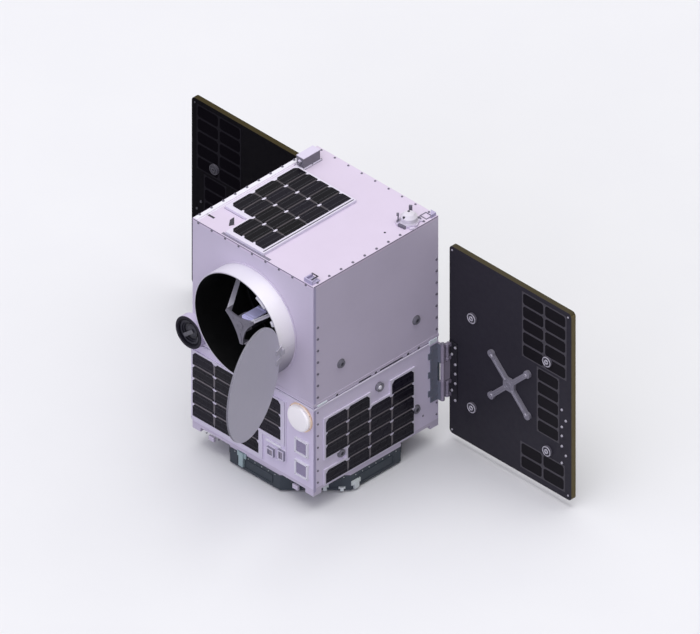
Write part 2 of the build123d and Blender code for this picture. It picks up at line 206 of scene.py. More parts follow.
def finish(name, colour, rough, metallic=0.0, drift=0.06, peel=350.0, bump=0.15, stretch=(1, 1, 1),
           specular=0.5):
    """A finish with drifting colour, uneven gloss and a fine relief. Returns its tree, colour and place."""
    finishes[name] = bpy.data.materials.new(f"{name}_finish")
    finishes[name].use_nodes = True
    tree = finishes[name].node_tree
    shader = tree.nodes["Principled BSDF"]
    shader.inputs["Metallic"].default_value = metallic
    shader.inputs["Specular IOR Level"].default_value = specular
    place = shade(tree, "TexCoord")["Object"]
    stretched = shade(tree, "Mapping", {"Vector": place, "Scale": stretch})[0]
    broad, close, fine = [
        shade(tree, "TexNoise", {"Vector": stretched, "Scale": scale, "Detail": detail})["Fac"]
        for scale, detail in ((HAND, 3.0), (THUMB, 4.0), (peel, 2.0))
    ]
    pure = linear(*colour)[:3]
    darker = tuple(v * (1 - drift) for v in pure) + (1.0,)
    lighter = tuple(min(v * (1 + drift / 2), 1.0) for v in pure) + (1.0,)
    base = blend(tree, broad, darker, lighter)
    gloss = shade(tree, "MapRange", {
        0: close, 1: NOISE_LOW, 2: NOISE_HIGH, 3: rough * GLOSSIER, 4: rough * DULLER,
    })[0]
    relief = shade(tree, "Bump", {"Height": fine, "Strength": bump, "Distance": 0.2 * MM})[0]
    for value, socket in ((base, "Base Color"), (gloss, "Roughness"), (relief, "Normal")):
        tree.links.new(value, shader.inputs[socket])
    return tree, base, place


def recolour(tree, colour):
    """Another base colour for a finish."""
    tree.links.new(colour, tree.nodes["Principled BSDF"].inputs["Base Color"])


print("gloss runs from", GLOSSIER, "to", DULLER, "of the roughness asked for")

# %% [markdown]
# The bus panels carry a satin white thermal paint with a lavender cast. It is sprayed, so under a lamp it
# shows a fine orange peel. The lower panels and the top are painted lighter than the upper sides: painted
# light. The deck edge and the small frames share the paint in a cleaner white.

# %% Paints
finish("panel_paint", (205, 196, 215), 0.48)
# The lower and top paints are lighter copies of the panel paint: painted light.
finish("lower_paint_painted_light", (222, 213, 234), 0.48)
finish("top_paint_painted_light", (214, 201, 221), 0.48)
finish("board_paint", (220, 214, 230), 0.45)
finish("clean_white", (232, 230, 238), 0.4, drift=0.03)
finish("edge_shadow", (178, 170, 200), 0.55)
finish("blue_coat", (214, 212, 255), 0.35, drift=0.02)
# The cover's hinge arms are painted grey: painted shade, the tone of the shaded tube wall beside them.
finish("arm_grey_painted_shade", (188, 185, 196), 0.5)
finish("grey_coat", (118, 115, 126), 0.5)
finish("grey_and_painted_shade", (104, 100, 114), 0.55, drift=0.1)
finish("seam_grey", (128, 122, 140), 0.7)
# The dark paint also stands for painted shade: inside slots and a hole, along a board's edge and on a bracket.
finish("dark_paint_and_painted_shade", (52, 50, 60), 0.7)
finish("black_paint", (16, 16, 18), 0.75, bump=0.3, specular=0.1)
print("paints:", len(finishes))

# %% [markdown]
# The telescope tube is white outside and matt black inside, to swallow stray light. It is one CAD piece,
# so the split has to be in the material: the distance from the tube's axis says which side of the wall a
# point is on. The same trick with a face selection would need the mesh changed, which is not allowed. The
# white is painted lighter on the shoulder that faces right and up, a painted highlight, and darker from
# the side down, as painted shade. Both follow the direction of the wall, which the surface's normal
# gives.

# %% Tube paint
def facing(tree, axis):
    """How far the surface looks along an axis of the part, from -1 to 1."""
    return shade(tree, "SeparateXYZ", {0: shade(tree, "TexCoord")["Normal"]})[axis]


def from_axis(tree, place, x, z):
    """The distance from a line along Y."""
    parts = shade(tree, "SeparateXYZ", {0: place})
    squares = []
    for axis, middle in (("X", x), ("Z", z)):
        away = maths(tree, "SUBTRACT", parts[axis], middle)
        squares.append(maths(tree, "MULTIPLY", away, away))
    return maths(tree, "SQRT", maths(tree, "ADD", *squares))


def ramp(tree, value, start, end):
    """A soft step from 0 at the start to 1 at the end."""
    return shade(tree, "MapRange", {0: value, 1: start, 2: end}, interpolation_type="SMOOTHSTEP")[0]


WALL_SPLIT = 3.2 * MM
tree, base, place = finish("tube_paint", (219, 215, 226), 0.42, drift=0.02)
# Painted highlight on the shoulder facing right and up, and painted shade from the side down.
painted_highlight = blend(tree, ramp(tree, facing(tree, "X"), 0.0, 0.7), base, (250, 247, 251))
outside = blend(tree, ramp(tree, facing(tree, "Z"), 0.25, -0.65), painted_highlight, (126, 123, 137))
inside = maths(tree, "LESS_THAN", from_axis(tree, place, 0.0, TUBE_Z), TUBE_R - WALL_SPLIT)
recolour(tree, blend(tree, inside, outside, (7, 7, 8)))
print("tube is black within", round(TUBE_R - WALL_SPLIT, 4), "of the axis at height", round(TUBE_Z, 4))

# %% [markdown]
# More parts wear two paints. The star tracker is pale on its round wall and black on its face and in its
# bore, the small box on the top has a white lid on grey sides, and the cover is black on the side that faces
# the mirrors and painted grey on its edge as painted shade. Here the surface's own normal does the sorting,
# with the radius once more for the tracker's bore. The struts of the second mirror are painted paler than
# their hub, as painted light where the tube shades them, and there a radius alone is enough. Their drive
# is blue above and black below, which a height tells.

# %% Two-tone paints
tracker_low, tracker_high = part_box("star_tracker")
TRACKER_X = (tracker_low.x + tracker_high.x) / 2
TRACKER_Z = (tracker_low.z + tracker_high.z) / 2
TRACKER_R = (tracker_high.x - tracker_low.x) / 2
TRACKER_SKIN = 1.2 * MM
tree, base, place = finish("tracker_paint", (21, 20, 28), 0.7, bump=0.3, specular=0.1)
from_middle = from_axis(tree, place, TRACKER_X, TRACKER_Z)
outer = maths(tree, "GREATER_THAN", from_middle, TRACKER_R - TRACKER_SKIN)
upright = maths(tree, "LESS_THAN", maths(tree, "ABSOLUTE", facing(tree, "Y")), 0.5)
recolour(tree, blend(tree, maths(tree, "MULTIPLY", outer, upright), base, (205, 196, 219)))

tree, base, place = finish("box_paint", (116, 113, 123), 0.5)
recolour(tree, blend(tree, maths(tree, "GREATER_THAN", facing(tree, "Z"), 0.5), base, (214, 206, 226)))

tree, base, place = finish("lid_paint", (206, 203, 219), 0.5, drift=0.03)
cover_out = tuple(COVER.to_3x3() @ Z)
normal = shade(tree, "TexCoord")["Normal"]
outward = shade(tree, "VectorMath", {0: normal, 1: cover_out}, operation="DOT_PRODUCT")["Value"]
# The cover's edge is painted grey: painted shade.
shaded_edge = blend(tree, maths(tree, "LESS_THAN", outward, 0.6), base, (124, 122, 132))
recolour(tree, blend(tree, maths(tree, "LESS_THAN", outward, -0.6), shaded_edge, (26, 26, 29)))

HUB_REACH = 58 * MM
tree, base, place = finish("spider_paint", (118, 115, 126), 0.5)
# The struts are painted paler than the hub: painted light.
strut = maths(tree, "GREATER_THAN", from_axis(tree, place, 0.0, TUBE_Z), HUB_REACH)
recolour(tree, blend(tree, strut, base, (228, 225, 235)))

drive_low, drive_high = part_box("secondary_drive")
tree, base, place = finish("drive_paint", (38, 37, 44), 0.45)
level = shade(tree, "SeparateXYZ", {0: place})["Z"]
upper = maths(tree, "GREATER_THAN", level, (drive_low.z + drive_high.z) / 2)
recolour(tree, blend(tree, upper, base, (216, 214, 255)))
print("tracker radius", round(TRACKER_R, 4), "cover faces", [round(v, 2) for v in cover_out])

# %% [markdown]
# Metals differ in what was done to them last. Anodised aluminium is matt and even, a machined bracket has
# fine lines along the cut, and the ring is turned steel. Stretching the noise in one direction makes the
# lines, which is cheaper than drawing them one by one. Glass, rubber and plastic are made beside them.

# %% Metals
finish("dark_anodised", (58, 66, 74), 0.5, metallic=0.25, drift=0.1)
finish("grey_anodised", (138, 135, 146), 0.5, metallic=0.25)
# The dull anodising also serves as painted shade on the left wing's bracket.
finish("dull_anodised_and_painted_shade", (100, 97, 107), 0.55, metallic=0.25)
finish("cup_anodised", (118, 116, 126), 0.55, metallic=0.2, drift=0.1)
finish("machined", (206, 212, 210), 0.32, metallic=0.75, stretch=(1, 1, 14), peel=500.0)
finish("clip_metal", (234, 243, 247), 0.45, metallic=0.1)
finish("turned_steel", (150, 151, 156), 0.3, metallic=1.0, stretch=(3, 3, 60), peel=500.0)
finish("screw_steel", (122, 118, 132), 0.45, metallic=0.3)
finish("socket_shade", (84, 80, 92), 0.7)
finish("gold_plate", (236, 210, 186), 0.35, metallic=0.3)
finish("silver_tab", (176, 178, 178), 0.35, metallic=0.5)
finish("dull_tab", (92, 89, 96), 0.45, metallic=0.3)
finish("hinge_spring", (132, 124, 142), 0.45, metallic=0.3)
# The left wing's inserts are painted much darker than the right's: painted shade.
finish("insert_steel_right", (192, 189, 198), 0.4, metallic=0.2)
finish("insert_steel_left", (60, 58, 66), 0.5, metallic=0.2)
finish("mirror_coat", (225, 228, 232), 0.05, metallic=1.0, drift=0.01, bump=0.0)
finish("lens_glass", (20, 20, 26), 0.12, drift=0.1, bump=0.0, specular=0.6)
finish("dome_white", (214, 209, 219), 0.45, drift=0.02)
finish("puck_white", (254, 251, 253), 0.5, metallic=0.5, drift=0.01)
finish("sensor_filter", (150, 140, 168), 0.3, drift=0.05)
finish("connector_plastic", (150, 146, 164), 0.5, drift=0.1)
finish("rest_rubber", (50, 48, 57), 0.7, drift=0.1)
finish("tracker_grey", (92, 91, 98), 0.5, drift=0.15)
finish("tracker_black", (29, 27, 38), 0.6, drift=0.1, specular=0.2)
finish("tracker_dark", (40, 39, 50), 0.55, drift=0.1)
finish("sealant", (110, 104, 108), 0.6, drift=0.15)
finish("top_sealant", (76, 71, 75), 0.6, drift=0.15, specular=0.2)
# The left wing's cells and backing are painted darker and less glossy than the right's: painted shade.
finish("face_cells_right", (29, 27, 31), 0.35, drift=0.2, bump=0.02, specular=0.04)
finish("face_cells_left", (18, 16, 20), 0.6, drift=0.2, bump=0.02, specular=0.0)
finish("backing_sheet_right", (62, 59, 66), 0.6, drift=0.1)
finish("backing_sheet_left", (29, 27, 32), 0.6, drift=0.1, specular=0.02)
print("finishes so far:", len(finishes))

# %% [markdown]
# The solar cells are dark, almost black, with a trace of violet. Close up each one shows fine silver
# fingers across it and thicker busbars along it, under a cover glass. An image would need a map for every
# cell. The cells stand on a regular grid, so the remainder of the position divided by the pitch draws every
# finger and busbar, and the whole part of it gives each cell its own slight shade. The grid starts at the
# low corner of the cells' box.

# %% Solar cells
CELL_LONG, CELL_SHORT, GAP_LONG, GAP_SHORT = 80.0, 39.5, 2.0, 1.8
COLUMN, ROW = CELL_LONG + GAP_LONG, CELL_SHORT + GAP_SHORT
BUSBARS = (0.27, 0.73)
BUSBAR_HALF, FINGER_PITCH, FINGER = 0.35, 1.6, 0.12
# how strongly a cell's own shade, its fingers and its busbars show
SHADE_SHOWS, FINGERS_SHOW, BARS_SHOW = 0.35, 0.12, 0.2


def cell_finish(node, long_axis, short_axis, glass=(24, 22, 29)):
    """Cells with the long side along one axis of the part, in millimetres from the corner of their box."""
    tree, base, place = finish(f"{node}_glass", glass, 0.28, drift=0.12, bump=0.02, specular=0.08)
    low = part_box(node)[0]
    starts = {"X": low.x, "Y": low.y, "Z": low.z}
    parts = shade(tree, "SeparateXYZ", {0: place})
    along, over = [
        maths(tree, "SUBTRACT", maths(tree, "MULTIPLY", parts[axis], 1 / MM), starts[axis] / MM)
        for axis in (long_axis, short_axis)
    ]
    fingers = maths(tree, "LESS_THAN", maths(tree, "WRAP", along, FINGER_PITCH), FINGER)
    in_cell = maths(tree, "WRAP", over, ROW)
    bars = []
    for share in BUSBARS:
        away = maths(tree, "ABSOLUTE", maths(tree, "SUBTRACT", in_cell, share * ROW))
        bars.append(maths(tree, "LESS_THAN", away, BUSBAR_HALF))
    number = shade(tree, "CombineXYZ", {
        "X": maths(tree, "FLOOR", maths(tree, "DIVIDE", along, COLUMN)),
        "Y": maths(tree, "FLOOR", maths(tree, "DIVIDE", over, ROW)),
    })[0]
    own = shade(tree, "TexWhiteNoise", {"Vector": number}, noise_dimensions="3D")["Value"]
    cell = blend(tree, maths(tree, "MULTIPLY", own, SHADE_SHOWS), base, (36, 31, 48))
    lined = blend(tree, maths(tree, "MULTIPLY", fingers, FINGERS_SHOW), cell, (150, 150, 160))
    barred = maths(tree, "MULTIPLY", maths(tree, "MAXIMUM", *bars), BARS_SHOW)
    recolour(tree, blend(tree, barred, lined, (160, 160, 168)))
    shader = tree.nodes["Principled BSDF"]
    shader.inputs["Coat Weight"].default_value = 0.03
    shader.inputs["Coat Roughness"].default_value = 0.05


cell_finish("front_cells", "X", "Z")
cell_finish("right_cells", "Y", "Z")
cell_finish("left_cells", "Y", "Z")
# The top's cells are painted darker than the others: painted shade under the stronger light from above.
cell_finish("top_cells", "Y", "X", (7, 6, 8))
cell_finish("wing_right_cells", "Z", "X")
cell_finish("wing_left_cells", "Z", "X")
print("cell pitch in mm:", COLUMN, round(ROW, 2))

# %% [markdown]
# The wings are sandwich panels with a dark carbon skin. The weave is a twill: two sets of threads cross and
# each passes over two others, which shows as a fine diagonal. The sum of both coordinates, wrapped at the
# width of a thread, gives that diagonal. Along its rim the panel has a raw olive edge, painted darker on top
# as painted shade, found from the surface's own normal, so that it stays put when the wing folds. The left
# wing's cloth is painted darker and less glossy: painted shade, for the shade of the bus it stands in.

# %% Wing skin
THREAD = 2.4 * MM
# the twill repeats after four threads, and a thread lies on top for one and a half of them
TWILL_REPEAT, ON_TOP = 4.0, 1.5
# how strongly the weave shows, how far along Y a rim face may look, and how far up to be the rim's top
WEAVE_SHOWS, RIM_MOST, TOP_LEAST = 0.3, 0.6, 0.5


def carbon_skin(name, cloth, thread_shine, specular):
    """Dark twill on the faces, olive on the rim."""
    tree, base, place = finish(name, cloth, 0.5, drift=0.1, bump=0.05, specular=specular)
    parts = shade(tree, "SeparateXYZ", {0: place})
    counts = [maths(tree, "FLOOR", maths(tree, "DIVIDE", parts[axis], THREAD)) for axis in ("X", "Z")]
    step = maths(tree, "WRAP", maths(tree, "ADD", *counts), TWILL_REPEAT)
    over = maths(tree, "LESS_THAN", step, ON_TOP)
    woven = blend(tree, maths(tree, "MULTIPLY", over, WEAVE_SHOWS), base, thread_shine)
    rim = maths(tree, "LESS_THAN", maths(tree, "ABSOLUTE", facing(tree, "Y")), RIM_MOST)
    # The rim's top is painted darker: painted shade.
    upper = maths(tree, "GREATER_THAN", facing(tree, "Z"), TOP_LEAST)
    recolour(tree, blend(tree, rim, woven, blend(tree, upper, (104, 93, 62), (64, 57, 37))))


carbon_skin("wing_skin_right", (43, 41, 49), (52, 50, 59), 0.15)
# The left wing's darker, duller cloth is painted shade.
carbon_skin("wing_skin_left_painted_shade", (9, 7, 12), (15, 13, 19), 0.02)
print("twill threads per 100 mm:", round(0.1 / THREAD))

# %% [markdown]
# A wing hinge has three colours: slate on the plate that is screwed to the bus, mauve grey on the knuckles,
# and the wing's own black where its leaf lies on the wing. They lie one behind the other, so the depth
# along Y tells them apart, and one finish serves both sides. The clips that release the adapter are sorted
# the same way: the front one has a teal cast, and those at the sides are painted brighter, as painted light.

# %% Hinge finishes
def depth_finish(name, near, far, depth):
    """One colour in front of a depth along Y, in metres, and another behind it."""
    tree, base, place = finish(name, near, 0.5, metallic=0.25, drift=0.08)
    behind = maths(tree, "GREATER_THAN", shade(tree, "SeparateXYZ", {0: place})["Y"], depth)
    recolour(tree, blend(tree, behind, base, far))


wing_pins = {side: Vector(joints[f"wing_{side}_hinge"]["pos_m"]) for side in WINGS}
KNUCKLE_R, LEAF_DEPTH, SIDE_CLIPS_Y = 7 * MM, 4 * MM, -0.2
depth_finish("hinge_plate", (118, 122, 136), (146, 137, 155), wing_pins["right"].y - KNUCKLE_R)
depth_finish("hinge_leaf", (158, 149, 167), (36, 35, 43), wing_low.y - LEAF_DEPTH)
# The clips at the sides are painted brighter: painted light on the shaded sides.
depth_finish("clip_finish", (166, 186, 188), (222, 228, 228), SIDE_CLIPS_Y)
print("wing pins at", {side: [round(v, 4) for v in spot] for side, spot in wing_pins.items()})

# %% [markdown]
# Now each CAD node gets its finish. The table reads like a paint schedule: one line for each finish, then
# the nodes that wear it. A node missing from it would keep a plain grey, so the script counts them.

# %% Paint the CAD nodes
schedule = {
    "panel_paint": "base_plate corner_feet mid_deck telescope_collar dome_antenna_base",
    "top_paint_painted_light": "panel_top",
    "box_paint": "top_box",
    "board_paint": "front_board right_board left_board top_board",
    "tube_paint": "telescope_tube",
    "lid_paint": "cover_disc",
    "clean_white": "sun_sensors",
    "drive_paint": "secondary_drive",
    "spider_paint": "secondary_spider",
    "grey_coat": "secondary_cell",
    "black_paint": "central_baffle",
    "tracker_paint": "star_tracker",
    "mirror_coat": "primary_mirror",
    "lens_glass": "star_tracker_lens",
    "puck_white": "patch_antenna",
    "dome_white": "dome_antenna",
    "gold_plate": "patch_antenna_base",
    "connector_plastic": "test_connectors",
    "dark_anodised": "adapter avionics",
    "hinge_plate": "hinge_leaf_right hinge_leaf_left",
    "hinge_leaf": "wing_right_hinge wing_left_hinge",
    "cup_anodised": "side_cups",
    "grey_anodised": "wing_right_cross",
    "dull_anodised_and_painted_shade": "wing_left_cross wing_left_snubbers wing_right_snubbers",
    "clip_finish": "release_clips",
    "edge_shadow": "top_brackets",
    "arm_grey_painted_shade": "cover_hinge_lug cover_hinge_arms",
    "turned_steel": "separation_ring",
    "wing_skin_right": "wing_right_panel",
    "wing_skin_left_painted_shade": "wing_left_panel",
}
wearers = {node: name for name, worn in schedule.items() for node in worn.split()}
for face in ("front", "rear", "left", "right"):
    wearers[f"panel_upper_{face}"] = "panel_paint"
    wearers[f"panel_lower_{face}"] = "lower_paint_painted_light"
wearers.update({node: f"{node}_glass" for node in nodes if node.endswith("_cells")})
for node, name in wearers.items():
    nodes[node].data.materials.clear()
    nodes[node].data.materials.append(finishes[name])
print("painted", len(wearers), "of", len(nodes), "left:", sorted(set(nodes) - set(wearers)))

# %% [markdown]
# The floor is a plain pale sheet. The camera looks down on it, so it fills the picture. For the eye it is
# nearly white, but a white floor would also throw light back up under the wings and wash out the dark
# undersides. Light Path tells a look from a bounce: rays from the camera and from glossy surfaces see the
# pale colour, and light that bounces meets a greyer one.

# %% Floor
def seen_by_camera(tree):
    """1 for rays of the camera, also through glass, and the outputs of Light Path."""
    path = shade(tree, "LightPath")
    return maths(tree, "MAXIMUM", path["Is Camera Ray"], path["Is Transmission Ray"]), path


def pale_floor():
    """Pale to the eye and in reflections, greyer for bounced light."""
    material = bpy.data.materials.new("pale_floor")
    material.use_nodes = True
    tree = material.node_tree
    seen, path = seen_by_camera(tree)
    seen = maths(tree, "MAXIMUM", seen, path["Is Glossy Ray"])
    place = shade(tree, "TexCoord")["Object"]
    cloud = shade(tree, "TexNoise", {"Vector": place, "Scale": 3.0, "Detail": 2.0})["Fac"]
    pale = blend(tree, cloud, (226, 226, 229), (230, 230, 232))
    shader = tree.nodes["Principled BSDF"]
    shader.inputs["Roughness"].default_value = 0.9
    shader.inputs["Specular IOR Level"].default_value = 0.1
    recolour(tree, blend(tree, seen, (140, 139, 141), pale))
    return material


FLOOR_HALF = 20
sheet = bpy.data.meshes.new("floor")
sheet.from_pydata([(x * FLOOR_HALF, y * FLOOR_HALF, 0) for x, y in ((-1, -1), (1, -1), (1, 1), (-1, 1))], [],
                  [(0, 1, 2, 3)])
sheet.materials.append(pale_floor())
floor = bpy.data.objects.new("floor", sheet)
bpy.context.scene.collection.objects.link(floor)
print("floor at z 0")

# %% [markdown]
# The light in the picture comes from a wide source above, with a cooler one from the front, and no hard
# shadow anywhere. Big lamps could do that, but they light near parts more than far ones. Here the sky
# itself is the softbox: its brightness grows towards straight up, with a bluish share from the front. One
# wide sun from above adds the shading that rounds the telescope tube, and a wide cool one from the front
# reaches under it, so that the lower bay is as light as the upper one.

# %% Light
def studio_sky(top=1.38, front=0.68, base=0.05):
    """A sky that is bright overhead, cool in front and dim elsewhere, behind a plain pale backdrop."""
    world = bpy.data.worlds.new("studio_sky")
    world.use_nodes = True
    tree = world.node_tree
    tree.nodes.clear()
    parts = shade(tree, "SeparateXYZ", {0: shade(tree, "TexCoord")["Generated"]})
    total = (base, base, base)
    for axis, sign, strength, tint in (("Z", 1, top, (1.0, 1.0, 1.0)), ("Y", -1, front, (0.94, 0.92, 1.24))):
        share = maths(tree, "MULTIPLY", parts[axis], sign, clamp=True)
        share = maths(tree, "MULTIPLY", maths(tree, "MULTIPLY", share, share), strength)
        term = shade(tree, "VectorMath", {0: tint, "Scale": share}, operation="SCALE")[0]
        total = shade(tree, "VectorMath", {0: total, 1: term}, operation="ADD")[0]
    seen, path = seen_by_camera(tree)
    lamp = shade(tree, "Background", {"Color": total, "Strength": 1.0})[0]
    pale = shade(tree, "Background", {"Color": (0.82, 0.82, 0.84, 1.0), "Strength": 1.0})[0]
    gloss = shade(tree, "MixShader", {0: path["Is Glossy Ray"], 1: lamp, 2: pale})[0]
    put(tree, "ShaderNodeOutputWorld", {"Surface": shade(tree, "MixShader", {0: seen, 1: gloss, 2: pale})[0]})
    bpy.context.scene.world = world


studio_sky()
# each sun: name, strength, spread in degrees, colour and the direction it stands in
for name, energy, spread, colour, source in (
    ("high_sun", 1.0, 50, (1.0, 1.0, 1.0), (0.02, -0.08, 1.0)),
    ("front_sun", 0.8, 60, (0.97, 0.95, 1.12), (0.5, -1.0, 0.1)),
):
    lamp = bpy.data.lights.new(name, "SUN")
    lamp.energy, lamp.angle, lamp.color = energy, math.radians(spread), colour
    sun = bpy.data.objects.new(name, lamp)
    sun.matrix_world = Vector(source).to_track_quat("Z", "Y").to_matrix().to_4x4()
    bpy.context.scene.collection.objects.link(sun)
bpy.context.scene.view_settings.view_transform = "Standard"
print("light set")

# %% [markdown]
# The small hardware is mesh code. A part is never one bare box or cylinder: plates have a chamfered rim,
# turned parts follow a profile, and frames are mitred. All of them are rings of points with faces between,
# in a place of their own. A piece is then a list of such shapes, each with its values, which becomes one
# object that rides on its body. Modelling by hand would do as well for one part, but here the same shape
# comes back at many places.

# %% Shape helpers
def polar(radius, angle):
    """A point of a face from radius and degrees."""
    return radius * math.cos(math.radians(angle)), radius * math.sin(math.radians(angle))


def circle(radius, steps):
    """Points round a circle."""
    return [polar(radius, 360 * step / steps) for step in range(steps)]


def rectangle(width, height, inset):
    """The corners of a rectangle, drawn in by the inset."""
    a, b = width / 2 - inset, height / 2 - inset
    return [(-a, -b), (a, -b), (a, b), (-a, b)]


def ring_of(mesh, place, points, level):
    """Points at one height of a place, in millimetres."""
    return [mesh.verts.new(place @ Vector((x * MM, y * MM, level * MM))) for x, y in points]


def close_rings(mesh, rings, looped=False):
    """Faces between rings of points. The ends are closed, or the last ring joins the first."""
    for low, high in zip(rings, rings[1:] + rings[:1] if looped else rings[1:]):
        count = len(low)
        for i in range(count):
            j = (i + 1) % count
            mesh.faces.new((low[i], low[j], high[j], high[i]))
    if not looped:
        mesh.faces.new(list(reversed(rings[0])))
        mesh.faces.new(rings[-1])


def slab(mesh, place, width, height, thick, chamfer=0.6):
    """A plate with a chamfered upper rim, centred on its place and standing on it."""
    section = ((0.0, 0.0), (0.0, thick - chamfer), (chamfer, thick))
    rings = [ring_of(mesh, place, rectangle(width, height, inset), level) for inset, level in section]
    close_rings(mesh, rings)


def turned(mesh, place, profile, steps=32, looped=False):
    """A turned part: the profile's radius and height, in millimetres, swept round z."""
    rings = [ring_of(mesh, place, circle(radius, steps), level) for radius, level in profile]
    close_rings(mesh, rings, looped)


def hoop(mesh, place, inner, outer, low, high, chamfer=0.5, steps=32):
    """A ring with chamfered upper edges."""
    profile = [(inner, low), (outer, low), (outer, high - chamfer), (outer - chamfer, high),
               (inner + chamfer, high), (inner, high - chamfer)]
    turned(mesh, place, profile, steps, looped=True)


def rim_frame(mesh, place, width, height, wall, thick, chamfer=0.4):
    """A rectangular frame with mitred corners and chamfered edges."""
    section = [(0.0, 0.0), (0.0, thick - chamfer), (chamfer, thick), (wall - chamfer, thick),
               (wall, thick - chamfer), (wall, 0.0)]
    rings = [ring_of(mesh, place, rectangle(width, height, inset), level) for inset, level in section]
    close_rings(mesh, rings, looped=True)


def bar(mesh, place, start, end, width, thick, chamfer=0.4):
    """A chamfered bar between two points of a place, in millimetres."""
    a, b = Vector(start), Vector(end)
    middle = (a + b) / 2
    angle = math.degrees(math.atan2(b.y - a.y, b.x - a.x))
    slab(mesh, at(place, middle.x, middle.y, 0, angle), (b - a).length, width, thick, chamfer)


def prism(mesh, place, outline, thick, low=0.0):
    """A flat outline with a thickness."""
    close_rings(mesh, [ring_of(mesh, place, outline, level) for level in (low, low + thick)])


def wire(mesh, points, radius, sides=8):
    """A round wire through points of the frame, in metres."""
    rings = []
    for index, point in enumerate(points):
        ahead = points[min(index + 1, len(points) - 1)] - points[max(index - 1, 0)]
        place = Matrix.Translation(point) @ ahead.to_track_quat("Z", "Y").to_matrix().to_4x4()
        rings.append(ring_of(mesh, place, circle(radius, sides), 0))
    close_rings(mesh, rings)


def dress(name, data, finish_name, body="bus", smooth=40):
    """An object from mesh data: finish, soft shading on shallow edges and body."""
    if not data.materials:
        data.materials.append(finishes[finish_name])
    data.name = name
    data.polygons.foreach_set("use_smooth", [True] * len(data.polygons))
    data.set_sharp_from_angle(angle=math.radians(smooth))
    made = bpy.data.objects.new(name, data)
    bpy.context.scene.collection.objects.link(made)
    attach(made, body)
    faces = sum(len(p.vertices) - 2 for p in data.polygons)
    print(f"{name}: {faces} triangles on {body}")


def piece(name, finish_name, shapes, body="bus"):
    """One object from a list of shapes, each a shape function and its values, with outward faces."""
    mesh = bmesh.new()
    for shape, *values in shapes:
        shape(mesh, *values)
    bmesh.ops.recalc_face_normals(mesh, faces=mesh.faces[:])
    data = bpy.data.meshes.new(name)
    mesh.to_mesh(data)
    mesh.free()
    dress(name, data, finish_name, body)


# %% [markdown]
# Screws hold every panel, insert and bracket. They are all alike, so one Geometry Nodes tree makes them:
# it takes a mesh whose points are the seats, turns a screw head to each seat's outward direction, gives it
# its own size and a random turn of the hexagon socket, and sets two materials. Copying objects in a loop
# would work too, but one tree keeps the head's shape in one place, and the seed keeps the turns the same
# in each run. The other trees of this script end in the same steps, which are kept in helpers.

# %% Screw tree
SOCKETS = {float: "NodeSocketFloat", int: "NodeSocketInt", tuple: "NodeSocketVector",
           type(None): "NodeSocketMaterial"}


def node_group(name, inputs):
    """A Geometry Nodes group with named inputs and their defaults. An input of None is a material."""
    group = bpy.data.node_groups.new(name, "GeometryNodeTree")
    for way in ("INPUT", "OUTPUT"):
        group.interface.new_socket("Geometry", in_out=way, socket_type="NodeSocketGeometry")
    for label, value in inputs.items():
        socket = group.interface.new_socket(label, in_out="INPUT", socket_type=SOCKETS[type(value)])
        if value is not None:
            socket.default_value = value
    return group, put(group, "NodeGroupInput").outputs


def geo(group, kind, inputs=None, **options):
    """The first output of a new Geometry Nodes step."""
    return put(group, "GeometryNode" + kind, inputs, **options).outputs[0]


def named(group, name, kind="FLOAT_VECTOR"):
    """An attribute of the seats."""
    return geo(group, "InputNamedAttribute", {"Name": name}, data_type=kind)


def outward_turn(group):
    """The rotation that carries z to a seat's outward direction."""
    return put(group, "FunctionNodeAlignRotationToVector", {"Vector": named(group, "out")}, axis="Z").outputs[0]


def spread(group, points, thing, finish_input, **more):
    """Copies of a thing on points, made real, in one finish."""
    placed = geo(group, "InstanceOnPoints", {"Points": points, "Instance": thing, **more})
    real = geo(group, "RealizeInstances", {"Geometry": placed})
    return geo(group, "SetMaterial", {"Geometry": real, "Material": finish_input})


def grow(name, group, data, values, finish_name, body="bus", smooth=40):
    """Run a tree on mesh data with values for its named inputs, and dress the plain mesh that comes out."""
    values = {"Finish": finishes[finish_name], **values}
    holder = bpy.data.objects.new(name, data)
    bpy.context.scene.collection.objects.link(holder)
    modifier = holder.modifiers.new("grow", "NODES")
    modifier.node_group = group
    for item in group.interface.items_tree:
        if item.in_out == "INPUT" and item.name in values:
            modifier[item.identifier] = values[item.name]
    bpy.context.view_layer.update()
    evaluated = holder.evaluated_get(bpy.context.evaluated_depsgraph_get())
    result = bpy.data.meshes.new_from_object(evaluated)
    holder.modifiers.clear()
    bpy.data.objects.remove(holder)
    if result.materials and result.materials[0] is None:
        result.materials.pop(index=0)
    dress(name, result, finish_name, body, smooth)


# shares of a screw head's radius and height, and the widest random turn in radians
HEAD_TOP_R, SOCKET_R, SOCKET_FOOT_R, SOCKET_H, SOCKET_UP = 0.86, 0.48, 0.5, 0.2, 0.92
FULL_TURN = 6.283


